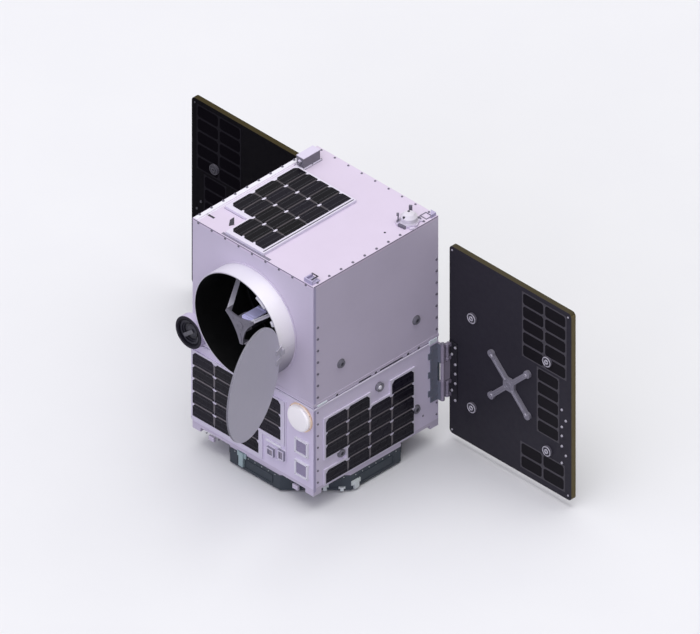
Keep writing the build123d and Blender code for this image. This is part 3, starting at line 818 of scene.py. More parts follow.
def screw_tree():
    """Points with an outward direction and a size become socket screws."""
    group, given = node_group("socket_screws", {
        "Head radius": 2.2 * MM, "Head height": 1.2 * MM, "Facets": 10, "Seed": 7,
        "Finish": None, "Socket finish": None,
    })
    radius, high = given["Head radius"], given["Head height"]
    head = geo(group, "MeshCone", {
        "Vertices": given["Facets"], "Radius Top": maths(group, "MULTIPLY", radius, HEAD_TOP_R),
        "Radius Bottom": radius, "Depth": high,
    })
    recess = geo(group, "MeshCone", {
        "Vertices": 6, "Radius Top": maths(group, "MULTIPLY", radius, SOCKET_R),
        "Radius Bottom": maths(group, "MULTIPLY", radius, SOCKET_FOOT_R),
        "Depth": maths(group, "MULTIPLY", high, SOCKET_H),
    })
    lifted = shade(group, "CombineXYZ", {"Z": maths(group, "MULTIPLY", high, SOCKET_UP)})[0]
    raised = geo(group, "Transform", {"Geometry": recess, "Translation": lifted})
    marked = geo(group, "StoreNamedAttribute", {"Geometry": raised, "Name": "socket", "Value": True},
                 data_type="BOOLEAN", domain="FACE")
    both = put(group, "GeometryNodeJoinGeometry")
    group.links.new(marked, both.inputs[0])
    group.links.new(head, both.inputs[0])
    chance = {2: 0.0, 3: FULL_TURN, "Seed": given["Seed"]}
    angle = put(group, "FunctionNodeRandomValue", chance, data_type="FLOAT").outputs[1]
    spin = put(group, "FunctionNodeAxisAngleToRotation", {"Axis": (0, 0, 1), "Angle": angle})
    turn = put(group, "FunctionNodeRotateRotation", {
        "Rotation": outward_turn(group), "Rotate By": spin.outputs["Rotation"],
    }, rotation_space="LOCAL").outputs[0]
    plain = spread(group, given["Geometry"], both.outputs[0], given["Finish"],
                   Rotation=turn, Scale=named(group, "size", "FLOAT"))
    put(group, "NodeGroupOutput", {0: geo(group, "SetMaterial", {
        "Geometry": plain, "Selection": named(group, "socket", "BOOLEAN"), "Material": given["Socket finish"],
    })})
    return group


def store(data, name, kind, field, values):
    """Fill a new point attribute. A reference to one attribute goes stale when the next is added."""
    attribute = data.attributes.new(name, kind, "POINT")
    for index, value in enumerate(values):
        setattr(attribute.data[index], field, value)


def seats(points):
    """Mesh points for a tree. Each is a place on a face and a size."""
    data = bpy.data.meshes.new("seats")
    data.from_pydata([tuple(place.translation) for place, _ in points], [], [])
    store(data, "out", "FLOAT_VECTOR", "vector", [(place.to_3x3() @ Z).normalized() for place, _ in points])
    store(data, "size", "FLOAT", "value", [value for _, value in points])
    return data


def rows(lines):
    """Seats at equal steps along lines: face, start, end, how many, their size and height on the face."""
    made = []
    for place, start, end, count, size, *out in lines:
        for index in range(count):
            share = index / (count - 1)
            x, y = [a + (b - a) * share for a, b in zip(start, end)]
            made.append((at(place, x, y, *out), size))
    return made


screws = screw_tree()


def screw_piece(name, points, head="screw_steel", slot="steel", body="bus", socket_finish="socket_shade",
                **sizes):
    """Screws on seats, as one piece on a body."""
    values = {label.replace("_", " ").capitalize(): value for label, value in sizes.items()}
    grow(name, screws, seats(points), {"Socket finish": finishes[socket_finish], **values}, head, body)


print("screw tree has", len(screws.nodes), "nodes")

# %% [markdown]
# The bus is bolted together along its panel edges. The top has a row of 44 mm pitch along both side edges,
# the left one on a raised strip, and the row at the front edge sits in the front face at 50 mm. Each side
# panel has a row of 37.5 mm pitch near its front and rear edge. The rear and the underside are out of
# sight, and get the same pattern, since they are the same kind of panel. Where the top meets the sides, a
# thin line of grey sealant closes the joint.

# %% Panel screws
def around(level, inset, width, thick, chamfer):
    """Bars along all four sides of the bus at one height."""
    return [(bar, face, (inset, level), (length - inset, level), width, thick, chamfer)
            for face, length in ROUND]


panel_rows = [
    (TOP, (443, 22), (443, 418), 10, 1.8),
    (TOP, (4.5, 22), (4.5, 418), 10, 1.8, 1.5),
    (TOP, (22, 458), (422, 458), 9, 1.5),
    (FRONT, (22, -5.5), (422, -5.5), 9, 1.7),
]
panel_rows += [(face, (along, high), (along, low), 7, size) for face in SIDES for along in (16, 458)
               for high, low, size in ((-137.5, -362.5, 1.8), (-412, -637, 1.5))]
panel_rows += [(REAR, (along, high), (along, low), count, 0.9) for along in (12, 438)
               for high, low, count in ((-14, -366, 9), (-402, -646, 7))]
panel_rows += [(REAR, (56, -down), (394, -down), 8, 0.9) for down in (9, 366, 402, 646)]
panel_rows += [(UNDER, (45, along), (405, along), 9, 1.2) for along in (8, 457)]
screw_piece("panel_screws", rows(panel_rows))
piece("top_edge_strip", "clean_white", [
    (bar, TOP, (8, 3), (8, 457), 13, 1.5, 0.5), (bar, TOP, (19, 3), (19, 355), 2.5, 1.0, 0.3),
])
piece("corner_strips", "edge_shadow",
      [(bar, face, (5, -4), (5, -664), 9, 0.3, 0.1) for face in SIDES])
piece("edge_seals", "seam_grey", around(-2, 2, 2.6, 0.3, 0.1))

# %% [markdown]
# The bus has two bays, and the deck between them shows as a pale lip round the body. Above the lip runs a
# thin grey line, a painted shade line of the seam, and in it are two long slots on each side, for the
# deck's fasteners, with a few screws between. The slots are thin dark strips laid on the panels, as painted
# shade inside them. Cutting them in would look the same at this size and would change CAD parts.

# %% Seam round the bus
# the seam's level, and how far below it the painted shade line, the deck's clips and its lip lie
SEAM, SHADE_LINE_DOWN, CLIP_DOWN, LIP_DOWN = -390.0, 3.4, 5, 8
piece("seam_shade_line", "seam_grey", around(SEAM - SHADE_LINE_DOWN, 2, 1.6, 0.4, 0.1))
slots = []
for face in SIDES:
    slots += [(bar, face, (start, SEAM), (end, SEAM), 6, 0.7, 0.3) for start, end in ((169, 215), (248, 332))]
    slots += [(turned, at(face, along, SEAM), [(4, 0), (4, 0.9), (3.2, 1.4), (0.05, 1.4)], 12)
              for along in (88, 232, 352, 392)]
# The dark strips are painted shade inside the slots. The small discs are the screws between.
piece("seam_slots", "dark_paint_and_painted_shade", slots)
piece("seam_lip", "board_paint", around(SEAM - LIP_DOWN, 1, 6, 2.4, 1.6))
piece("deck_clips", "clip_metal", [shape for face in SIDES for shape in (
    (bar, face, (430, SEAM - CLIP_DOWN), (458, SEAM - CLIP_DOWN), 13, 3, 0.8),
    (bar, face, (14, SEAM), (50, SEAM), 6, 2.2, 0.5),
)])

# %% [markdown]
# The interface ring carries the satellite on its launcher, and above it stands a dark eight-sided adapter.
# Each flat has a machined pocket with a raised frame and a row of screws along its top. The frames repeat
# round the axis, so a small tree makes one frame and instances it at eight turned points. Here the repeat
# is an angle and not a distance, and the tree only needs a circle of points with their turn. Under the base
# plate four lugs stand beside the adapter.

# %% Adapter pockets
adapter_low, adapter_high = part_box("adapter")
FLATS = 8


def pocket_tree():
    """Rectangular frames on the flats of an upright prism."""
    group, given = node_group("flat_pockets", {
        "Sides": FLATS, "Reach": 225 * MM, "Level": 30 * MM, "Width": 130 * MM, "Height": 26 * MM,
        "Wall": 3 * MM, "Corner": 4 * MM, "Finish": None,
    })
    outline = geo(group, "CurvePrimitiveQuadrilateral", {"Width": given["Height"], "Height": given["Width"]})
    rounded = geo(group, "FilletCurve", {"Curve": outline, "Radius": given["Corner"], "Count": 3}, mode="POLY")
    section = geo(group, "CurvePrimitiveQuadrilateral", {"Width": given["Wall"], "Height": given["Wall"]})
    swept = geo(group, "CurveToMesh", {"Curve": rounded, "Profile Curve": section})
    upright = geo(group, "Transform", {"Geometry": swept, "Rotation": (0, math.radians(90), 0)})
    points = geo(group, "MeshCircle", {"Vertices": given["Sides"], "Radius": given["Reach"]})
    lift = shade(group, "CombineXYZ", {"Z": given["Level"]})[0]
    lifted = geo(group, "Transform", {"Geometry": points, "Translation": lift})
    spot = geo(group, "InputPosition")
    flat = shade(group, "VectorMath", {0: spot, 1: (1, 1, 0)}, operation="MULTIPLY")[0]
    turn = put(group, "FunctionNodeAlignRotationToVector", {"Vector": flat}, axis="X", pivot_axis="Z")
    frames = spread(group, lifted, upright, given["Finish"], Rotation=turn.outputs[0])
    put(group, "NodeGroupOutput", {0: frames})
    return group


POCKET_LEVEL = (adapter_low.z + adapter_high.z) / 2 - 3 * MM
grow("adapter_pockets", pocket_tree(), bpy.data.meshes.new("seed"),
     {"Reach": adapter_high.x, "Level": POCKET_LEVEL}, "dark_anodised")
first_flat = place_of((adapter_high.x, 0, adapter_high.z), Y, Z, X)
flats = [Matrix.Rotation(2 * math.pi * side / FLATS, 4, "Z") @ first_flat for side in range(FLATS)]
screw_piece("adapter_screws", rows([(flat, (-75, -7), (75, -7), 7, 0.8) for flat in flats]),
            "machined", "bare_aluminium")
piece("base_lugs", "panel_paint",
      [(slab, at(face, x, -BUS_H - 4, -7), 20, 13, 8, 1.5) for x in (69, 381) for face in (FRONT, REAR)])

# %% [markdown]
# The top carries a white radome on a hexagonal base, a small box, an earthing slot and an inspection mark.
# The radome's two screws are dark. Its cap is a turned part: one profile swept round the axis. The same could
# be had from a subdivided cylinder, but a profile is exact and needs few faces. Its feet, the strap at its
# left and the post behind it are grey slabs, which also paint the shade of the base on its left and under it,
# and a thin frame in the rear corner is grey. The slot and a small hole are dark strips laid on the top, as
# painted shade, and two dark bars in an L paint the shade on the bracket in the front right corner. The board
# of cells has a dark rail along its right edge, painted as its shade line, and grey strips in front of it
# that paint the shade line of its edge.

# %% Top hardware
dome_low, dome_high, dome = box_on(TOP, "dome_antenna")
piece("radome_cap", "dome_white", [
    (turned, at(TOP, dome.x, dome.y, dome_high.z - 0.2),
     [(14.6, 0), (14.2, 0.8), (10, 2.0), (5, 2.7), (0.05, 2.9)]),
    (hoop, at(TOP, dome.x, dome.y, dome_low.z), 22.9, 25.0, 0, 2.4, 0.8),
])
dark_parts = [
    (turned, at(TOP, dome.x + x, dome.y + y, dome_high.z - down + 2),
     [(3.6, -2), (3.6, 1.2), (2.6, 1.9), (0.05, 1.9)], 12) for x, y, down in ((0, -19, 5.5), (-5, 4, 0))
]
dark_parts += [
    # The earthing slot and the small hole are dark pieces laid on the top: painted shade.
    (bar, TOP, (16, 39), (42, 39), 6.5, 0.8, 0.3),
    (prism, TOP, [(94, 41), (101, 54), (76, 79), (77, 62)], 0.8),
    (turned, at(TOP, 406, 310), [(3.2, 0), (3.2, 0.6), (2.2, 0.9), (0.05, 0.9)], 14),
    # These two bars in an L are a painted shadow on the corner bracket.
    (bar, at(TOP, 0, 0, 11.6), (434, 8), (434, 34), 4, 1.2, 0.3),
    (bar, at(TOP, 0, 0, 11.6), (412, 32), (434, 32), 4, 1.2, 0.3),
]
piece("dark_top_parts", "dark_paint_and_painted_shade", dark_parts)
# each foot, a grey slab that also paints shade on the base: direction, distance from the axis, height where it
# starts, depth, width and its own height
FEET_AND_SHADE = ((69, 29.5, 2, 7, 9, 7), (128, 35, 4, 6, 9, 27), (225, 29.5, 0, 7, 12, 5), (225, 28.5, 4, 4, 14, 21),
        (225, 29.5, 24, 7, 9, 5), (277, 29.5, 0, 7, 24, 8))
feet = [(slab, at(at(TOP, dome.x, dome.y, low, angle), out, 0), depth, width, high, 1)
        for angle, out, low, depth, width, high in FEET_AND_SHADE]
rear_frame = (rim_frame, at(TOP, 429, 441), 26, 24, 3, 1.2, 0.4)
piece("grey_top_parts", "grey_and_painted_shade", feet + [rear_frame])

box_low, box_high, box = box_on(TOP, "top_box")
box_w, box_d, box_h = box_high - box_low
piece("top_box_trim", "box_paint", [
    (slab, at(TOP, box.x, box.y, box_h - 3.6), box_w + 1.8, box_d + 1.8, 3.5, 0.9),
    (slab, at(TOP, box.x, box.y), box_w + 9, box_d + 9, 3, 1),
    (turned, at(TOP, box.x, box_low.y, 18) @ Matrix.Rotation(math.radians(90), 4, "X"),
     [(7, 0), (7, 4), (5.5, 5), (5.5, 7), (3.5, 7), (3.5, 5.5), (0.05, 5.5)], 18),
])
screw_piece("top_box_screws", [(at(TOP, box.x + a * 15.6, box.y + b * 32.5, 3), 0.8)
                               for a in (-1, 1) for b in (-1, 0, 1)])
# The dark rail paints the shade line beside the board's edge.
piece("top_board_rail", "dark_paint_and_painted_shade",
      [(bar, at(TOP, 0, 0, 7.9), (249.5, 14), (249.5, 350), 2.4, 1.2, 0.4)])
# Grey strips that paint the shade line of the board's edge.
piece("top_board_shade_lines", "seam_grey", [
    (bar, TOP, (104, 7), (282, 7), 9, 0.5, 0.15), (bar, TOP, (27, 92), (99, 92), 4.5, 0.5, 0.15),
])

# %% [markdown]
# The telescope looks forward out of its tube. Inside are flat rings, the vanes, whose sharp edges catch
# stray light. They repeat at one pitch along the axis, so a tree sweeps a thin profile round a circle and
# sets copies on a line of points.

# %% Tube vanes
def vane_tree():
    """Thin rings at equal steps along Y."""
    group, given = node_group("tube_vanes", {
        "Outer radius": 154 * MM, "Depth": 8 * MM, "Thickness": 1 * MM, "Count": 6, "First": (0, 0, 0),
        "Pitch": 30 * MM, "Finish": None,
    })
    middle = maths(group, "SUBTRACT", given["Outer radius"], maths(group, "MULTIPLY", given["Depth"], 0.5))
    path = geo(group, "CurvePrimitiveCircle", {"Resolution": 48, "Radius": middle})
    section = geo(group, "CurvePrimitiveQuadrilateral", {"Width": given["Depth"], "Height": given["Thickness"]})
    ring = geo(group, "CurveToMesh", {"Curve": path, "Profile Curve": section})
    upright = geo(group, "Transform", {"Geometry": ring, "Rotation": (math.radians(90), 0, 0)})
    step = shade(group, "CombineXYZ", {"Y": given["Pitch"]})[0]
    line = geo(group, "MeshLine", {
        "Count": given["Count"], "Start Location": given["First"], "Offset": step,
    }, mode="OFFSET")
    put(group, "NodeGroupOutput", {0: spread(group, line, upright, given["Finish"])})
    return group


FIRST_VANE_Y, TUBE_WALL = -0.108, 4.6 * MM
grow("tube_vanes", vane_tree(), bpy.data.meshes.new("seed"),
     {"First": (0.0, FIRST_VANE_Y, TUBE_Z), "Outer radius": TUBE_R - TUBE_WALL}, "black_paint",
     smooth=20)

# %% [markdown]
# Behind the rim, at the upper right, a white cable tray follows the wall in two lengths. Each is an arc with
# a thickness, so its outline is computed from two radii. The hub of the second mirror stands on three
# struts, with a harness along one of them: a round white wire along the strut's front edge, which also paints
# the highlight on that edge. The hub has two screws on each of its points and a turned boss in its middle,
# and its drive has a lavender cover.

# %% Telescope hardware
RIM = place_of((0, tube_low.y, TUBE_Z), X, Z, -Y)
HUB = place_of((0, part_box("secondary_spider")[0].y, TUBE_Z), X, Z, -Y)
HUB_TIPS = (33, 152, 276)
TRAY_OUT, TRAY_IN = 154.7, 141
tray = []
for first, last in ((26, 32), (47, 62)):
    steps = range(first, last + 1, 3)
    outline = [polar(TRAY_OUT, angle) for angle in steps] + [polar(TRAY_IN, angle) for angle in reversed(steps)]
    tray.append((prism, RIM, outline, 6, -9))
tray += [(slab, at(RIM, *polar(148, angle), -3, angle), 8, 5, 1.6, 0.5) for angle in (29, 50, 59)]
piece("cable_tray", "clean_white", tray)

arm = at(HUB, 0, 0, 0, HUB_TIPS[0])
route = [arm @ Vector((r * MM, 5.2 * MM, out * MM))
         for r, out in ((40, -3), (57, -2), (92, -52), (128, -104), (150, -138))]
ties = [(slab, at(arm, r, 4.6, out), 7, 7, 2.2, 0.6) for r, out in ((60, -8), (110, -80))]
# The white wire also stands for the highlight on the strut's lit edge: a painted highlight.
piece("strut_harness_highlight", "clean_white", [(wire, route, 1.8)] + ties)
piece("hub_boss", "grey_coat",
      [(turned, HUB, [(13, 0), (13, 1.6), (11.5, 2.6), (6, 2.6), (5, 1.4), (0.05, 1.4)], 24)]
      + [(slab, at(HUB, *polar(38, angle), 0, angle), 20, 5, 1.4, 0.5) for angle in HUB_TIPS])
screw_piece("hub_screws", [(at(HUB, *polar(radius, angle)), 0.9) for angle in HUB_TIPS for radius in (52, 26)])

DRIVE = place_of((drive_low.x, drive_low.y, drive_high.z), X, Y, Z)
DRIVE_W, DRIVE_L = (drive_high.x - drive_low.x) / MM, (drive_high.y - drive_low.y) / MM
piece("drive_cover", "blue_coat",
      [(slab, at(DRIVE, DRIVE_W / 2, DRIVE_L * share), DRIVE_W - 3, 4, 1.2, 0.4) for share in (0.12, 0.88)]
      + [(slab, at(DRIVE, DRIVE_W / 2, DRIVE_L / 2), DRIVE_W * 0.55, DRIVE_L * 0.5, 0.8, 0.3)])

# %% [markdown]
# The cover swings on the pin beside the rim. Its outer face is plain paint. Inside it is stiffened by a ring
# and ribs that drop into the tube when it closes, and it is black, because it faces the mirrors. They are
# modelled in the cover's own place, which was worked out from the joint, so they stay on the disc.

# %% Cover
COVER_T = 5.0
COVER_BACK = COVER @ Matrix.Translation((0, 0, -COVER_T * MM)) @ Matrix.Rotation(math.radians(180), 4, "Y")
piece("cover_ribs", "black_paint", [
    (hoop, COVER_BACK, 128, 137, 0, 4, 1, 48),
    (hoop, COVER_BACK, 62, 67, 0, 3, 0.8, 40),
    (turned, COVER_BACK, [(14, 0), (14, 4), (12, 5), (0.05, 5)], 24),
] + [(bar, COVER_BACK, polar(13, angle), polar(130, angle), 4, 3, 0.6) for angle in range(0, 360, 45)], "cover")
piece("cover_rim", "lid_paint", [(hoop, COVER, 153.2, 156.6, -0.05, 0.25, 0.1, 64)]
      + [(slab, at(COVER, 141, y), 14, 13, 1.2, 0.4) for y in (-16, 16)], "cover")
screw_piece("cover_screws", [(at(COVER, x, y, 1.2), 0.8) for x in (137, 145) for y in (-16, 16)], body="cover")

# %% [markdown]
# Two round sensors sit on the front. The star tracker is a black cup with stepped rings round its lens and
# a pale bar across the lens, shaped as a retaining bar, which paints the reflection on the lens. The patch
# antenna is a white puck on a gold-coloured flange. Both are turned parts. Below the puck are two sun
# sensors: white frames round a lavender filter.

# %% Front sensors
TRACKER = place_of((TRACKER_X, tracker_high.y, TRACKER_Z), X, Z, -Y)
TRACKER_OUT = (tracker_high.y - tracker_low.y) / MM
piece("tracker_rim", "tracker_black",
      [(hoop, TRACKER, 40.5, 47.6, TRACKER_OUT - 0.1, TRACKER_OUT + 1.4, 0.6, 48)])
steps = [(hoop, TRACKER, inner, 35.8, level, level + 1.2, 0.3, 48)
         for inner, level in ((30, 17), (26, 12), (21.5, 7.5))]
steps.append((turned, at(TRACKER, 0, 0, 11.8), [(20, 0), (19, 1.2), (13, 2.8), (6, 3.6), (0.05, 3.8)], 32))
piece("tracker_steps", "tracker_dark", steps)
# The pale bar across the lens is a painted reflection.
piece("tracker_lens_reflection", "tracker_grey", [
    (bar, at(TRACKER, 0, 0, 18.4), (-21, -20), (11, 7), 11, 1.6, 0.5),
    (bar, at(TRACKER, 0, 0, 19.8), (-15, -15), (5, 2), 5, 0.8, 0.3),
])

_, puck_high, puck = box_on(FRONT, "patch_antenna")
PUCK = at(FRONT, puck.x, puck.y)
piece("puck_crown", "puck_white", [
    (turned, at(PUCK, 0, 0, puck_high.z - 0.2),
     [(35.6, 0), (35.4, 0.7), (30, 1.7), (20, 2.5), (10, 2.9), (0.05, 3.0)], 48),
])
screw_piece("puck_screws", [(at(PUCK, *polar(41, angle), 4), 0.55) for angle in range(30, 360, 60)])

sensor_low, sensor_high, sensor = box_on(FRONT, "sun_sensors")
half = (sensor_high.x - sensor_low.x) / 2
WINDOWS = [at(FRONT, sensor.x, up) for up in (sensor_high.y - half, sensor_low.y + half)]
SENSOR_SCREW = 21.3
piece("sensor_filters", "sensor_filter", [shape for window in WINDOWS for shape in (
    (slab, at(window, 0, 0, 3.9), 37, 37, 0.8, 0.3), (rim_frame, at(window, 0, 0, 4.6), 22, 22, 1.2, 0.6, 0.2),
)])
screw_piece("sensor_screws", [(at(window, a * SENSOR_SCREW, b * SENSOR_SCREW, 7), 0.55)
                              for window in WINDOWS for a, b in CORNERS])

# %% [markdown]
# Left of the sun sensors are two test connectors under a white guard bar, and a narrow cable duct runs down
# beside the cells. The connectors have a painted shell and rows of gold pins. Pins are the classic case for
# instances on points, so the screw tree is used again, with thin tall heads and few facets.

# %% Connectors
piece("guard_bar", "clean_white", [(bar, FRONT, (277, -574), (333, -574), 5.5, 6, 1.2)])
piece("cable_duct", "board_paint", [
    (bar, FRONT, (348.5, -420), (348.5, -612), 3.6, 3, 0.8),
    (bar, FRONT, (314, -622), (348.5, -612), 3.6, 3, 0.8),
])
# each connector: its middle, width, height and how many rows of pins stand above and below the middle one
CONNECTORS = ((at(FRONT, 297, -603), 25, 25, 1), (at(FRONT, 337, -594), 22, 30, 2))
PIN_PITCH = 4.2
shells = []
for place, width, high, _ in CONNECTORS:
    shells.append((rim_frame, place, width + 5, high + 5, 2.4, 4, 0.8))
    shells.append((rim_frame, at(place, 0, 0, 9.6), width - 1, high - 1, 3.4, 1.4, 0.5))
piece("connector_shells", "board_paint", shells)
pins = [(at(place, a * PIN_PITCH, b * PIN_PITCH, 4), 0.4)
        for place, _, _, reach in CONNECTORS for a in (-1, 0, 1) for b in range(-reach, reach + 1)]
screw_piece("connector_pins", pins, "gold_plate", "gold", head_height=9 * MM, facets=6)

# %% [markdown]
# Each side of the bus carries four cups round a catch. They lie on the same pattern as the four rests and
# the X bracket of the wing, so that they line up when the wing is folded. Cups and rests are turned: a
# raised ring round a hollow. The list of places is the same for both sides, so the left side is made by
# the same lines with the left face's place.

# %% Cups and catches
PAD_X, PAD_Y = 140, 144
CATCH_X, CATCH_Y = 242, -439.5
CUPS = [at(face, CATCH_X + a * PAD_X, CATCH_Y - b * PAD_Y) for face in SIDES for a, b in CORNERS]
piece("cup_rings", "cup_anodised", [shape for cup in CUPS for shape in (
    (hoop, at(cup, 0, 0, 5.8), 5.5, 9.6, 0, 1.4, 0.6, 24),
    (turned, cup, [(14, 0), (14, 0.9), (13.2, 1.4), (0.05, 1.4)], 28),
)])
piece("cup_hollows", "dark_paint_and_painted_shade",
      [(turned, at(cup, 0, 0, 5.9), [(5.2, 0), (5.2, 0.3), (0.05, 0.3)], 18) for cup in CUPS])
piece("catch_rings", "grey_anodised", [shape for face in SIDES for shape in (
    (hoop, at(face, CATCH_X, CATCH_Y, 7.6), 8.5, 13.6, 0, 1.6, 0.7, 28),
    (turned, at(face, 408, -618), [(3.4, 0), (3.4, 0.5), (2.8, 0.8), (0.05, 0.8)], 16),
)])
piece("catch_pins", "clean_white",
      [(turned, at(face, CATCH_X - 3, CATCH_Y + 2.5, 7.9),
        [(6, 0), (6, 2.6), (4.8, 3.8), (2.2, 3.8), (1.6, 2.8), (0.05, 2.8)], 20) for face in SIDES])

# %% [markdown]
# The wing's front face is carbon skin with a few cells of its own near the outer edge, threaded inserts near
# both hinge lines, four rests and the X bracket. The cells sit on a grey backing sheet, which shows as a
# grid between them. They are cut at all four corners, and a curve tree suits that: a rectangle, its corners
# cut by a fillet of one step, filled, given a thickness, and set on the list of cell centres.

# %% Wing face cells
def cropped_tree():
    """Thin plates with cut corners on points."""
    group, given = node_group("cropped_cells", {
        "Long side": 75 * MM, "Short side": 34.5 * MM, "Cut": 5 * MM, "Thickness": 0.35 * MM, "Finish": None,
    })
    outline = geo(group, "CurvePrimitiveQuadrilateral", {
        "Width": given["Long side"], "Height": given["Short side"],
    })
    cut = geo(group, "FilletCurve", {"Curve": outline, "Radius": given["Cut"], "Count": 1}, mode="POLY")
    filled = geo(group, "FillCurve", {"Curve": cut}, mode="NGONS")
    raised = geo(group, "ExtrudeMesh", {"Mesh": filled, "Offset Scale": given["Thickness"]}, mode="FACES")
    cells = spread(group, given["Geometry"], raised, given["Finish"], Rotation=outward_turn(group))
    put(group, "NodeGroupOutput", {0: cells})
    return group


cropped = cropped_tree()
# each group: place along and down, columns, rows
FACE_GROUPS = ((271, 15, 2, 5), (326, 230, 1, 5), (265, 500, 2, 2))
for side, wing in WINGS.items():
    sheets = [(slab, at(wing, along + COLUMN * columns / 2, -(down + ROW * lines / 2), 0.02),
               COLUMN * columns + 2, ROW * lines + 2, 0.3, 0.1) for along, down, columns, lines in FACE_GROUPS]
    piece(f"wing_{side}_backing", f"backing_sheet_{side}", sheets, f"wing_{side}")
    centres = [(at(wing, along + COLUMN * (c + 0.5), -(down + ROW * (r + 0.5)), 0.3), 1.0)
               for along, down, columns, lines in FACE_GROUPS for c in range(columns) for r in range(lines)]
    grow(f"wing_{side}_face_cells", cropped, seats(centres), {}, f"face_cells_{side}",
         f"wing_{side}")

# %% [markdown]
# The inserts are steel bushes glued into the core, seen as pale dots by the hinge line and by the far edge.
# The hinge's own leaf is bolted through the near ones, so those stand on the leaf. The rests are turned
# rings round a rubber cone, and the bracket has a raised spine on each arm and a screw in each boss. All
# of it is made once in the wing's own place and then again for the other side, in darker colours that
# paint the shade that wing stands in.

# %% Wing hardware
LEAF_T = 3.0
# each group of dots: places along and down, height and size
DOTS = (
    ([(25, d) for d in (319, 373, 403, 434, 488)] + [(12.5, 345), (12.5, 461)], LEAF_T, 1.9),
    ([(419, d) for d in (323, 378, 407, 440, 494)] + [(434, 352), (434, 464)], 0, 1.8),
    ([(10, 12), (10, 590), (442, 14), (442, 588)], 0, 1.3),
)
BRACKET_X, BRACKET_Y = 227, -336
ARM = 90 / math.sqrt(2)
CONE = [(12, 0), (11.6, 0.5), (7.3, 0.3), (3.4, 0.2), (0.05, 0.2)]
# The left wing's spines are darker: painted shade.
spine_finish = {"right": "grey_anodised", "left": "dull_anodised_and_painted_shade"}
for side, wing in WINGS.items():
    body, bright = f"wing_{side}", f"insert_steel_{side}"
    dots = [(at(wing, x, -d, out), size) for places, out, size in DOTS for x, d in places]
    screw_piece(f"wing_{side}_inserts", dots, bright, "steel", body, socket_finish=bright)
    bracket = at(wing, BRACKET_X, BRACKET_Y)
    held = [(at(bracket, a * reach, b * reach, 8), size)
            for reach, size in ((ARM, 1.9), (13, 1.2)) for a, b in CORNERS]
    screw_piece(f"wing_{side}_bracket_screws", held, bright, "steel", body)
    rests = [at(bracket, a * PAD_X, -b * PAD_Y) for a, b in CORNERS]
    piece(f"wing_{side}_rings", bright, [shape for rest in rests for shape in (
        (hoop, at(rest, 0, 0, 5.8), 12.2, 15.2, 0, 1.6, 0.6, 32),
        (hoop, at(rest, 0, 0, 5.8), 3.5, 7.2, 0, 2.6, 0.8, 20),
    )], body)
    cones = []
    for rest in rests:
        cones.append((turned, at(rest, 0, 0, 5.9), CONE, 24))
        cones += [(slab, at(rest, *polar(9.6, angle), 6.2, angle), 7, 3.6, 1.4, 0.4)
                  for angle in (20, 140, 260)]
    piece(f"wing_{side}_rubbers", "rest_rubber", cones, body)
    spines = [(hoop, at(bracket, 0, 0, 7.8), 6.5, 10.5, 0, 2.2, 0.8, 28)]
    spines += [(bar, at(bracket, 0, 0, 7.9), polar(16, angle), polar(78, angle), 4.5, 2.2, 1.2)
               for angle in (45, 135, 225, 315)]
    piece(f"wing_{side}_spines", spine_finish[side], spines, body)

# %% [markdown]
# Neighbouring cells are joined by welded tabs, which bridge the two-millimetre gaps at the busbars, two to
# a gap. On the bus a grey sealant closes the gaps and laps over the edges of the cells, and only the cut
# corners leave a pale spot of board. Tabs and sealant are flat strips, tiny and in hundreds, so each is a
# box of six faces set on a point, by one more small tree. On the sunny side of the wings the strings end in
# silver strips.

# %% Tabs and sealant
def tab_tree():
    """Small flat boxes on points, long side along the seat's own x."""
    group, given = node_group("welded_tabs", {
        "Length": 5 * MM, "Width": 2.4 * MM, "Thickness": 0.25 * MM, "Finish": None,
    })
    size = shade(group, "CombineXYZ", {"X": given["Length"], "Y": given["Width"], "Z": given["Thickness"]})[0]
    strap = geo(group, "MeshCube", {"Size": size})
    turn = put(group, "FunctionNodeAxesToRotation", {
        "Primary Axis": named(group, "out"), "Secondary Axis": named(group, "along"),
    }, primary_axis="Z", secondary_axis="X").outputs[0]
    put(group, "NodeGroupOutput", {0: spread(group, given["Geometry"], strap, given["Finish"], Rotation=turn)})
    return group


tabs = tab_tree()


def tab_piece(name, places, finish_name, slot, body="bus", **sizes):
    """Flat strips at places whose x runs along the strip, with sizes in millimetres."""
    data = seats([(place, 1.0) for place in places])
    store(data, "along", "FLOAT_VECTOR", "vector", [(place.to_3x3() @ X).normalized() for place in places])
    values = {label.capitalize(): value * MM for label, value in sizes.items()}
    grow(name, tabs, data, values, finish_name, body)


FIELD_COLUMNS, FIELD_ROWS = 4, 5


def pairs(missing, across, down):
    """The cells of a field with a neighbour so many columns across and rows down."""
    return [(c, r) for c in range(FIELD_COLUMNS - across) for r in range(FIELD_ROWS - down)
            if not {(c, r), (c + across, r + down)} & missing]


CELL_UP, SEALANT_UP = 1.3, 0.02
# Each field has a place, and cells left out: beside the front connectors, for a cup and the catch, and in
# the top's front corner. On the top the long sides run from rear to front, and the strings are counted
# from the left.
fields = [(at(FRONT, 5, -426, 4), {(3, 3), (3, 4)})]
fields += [(at(face, 43, -446, 4), {(0, 3), (2, 0)}) for face in SIDES]
fields.append((place_of(at(TOP, 36, 349, 8).translation, -Y, -X, Z), {(3, 0), (3, 1)}))
bus_tabs = [at(place, (c + 1) * COLUMN - GAP_LONG / 2, -(r + share) * ROW, CELL_UP)
            for place, missing in fields for c, r in pairs(missing, 1, 0) for share in BUSBARS]
tab_piece("bus_tabs", bus_tabs, "dull_tab", "steel")
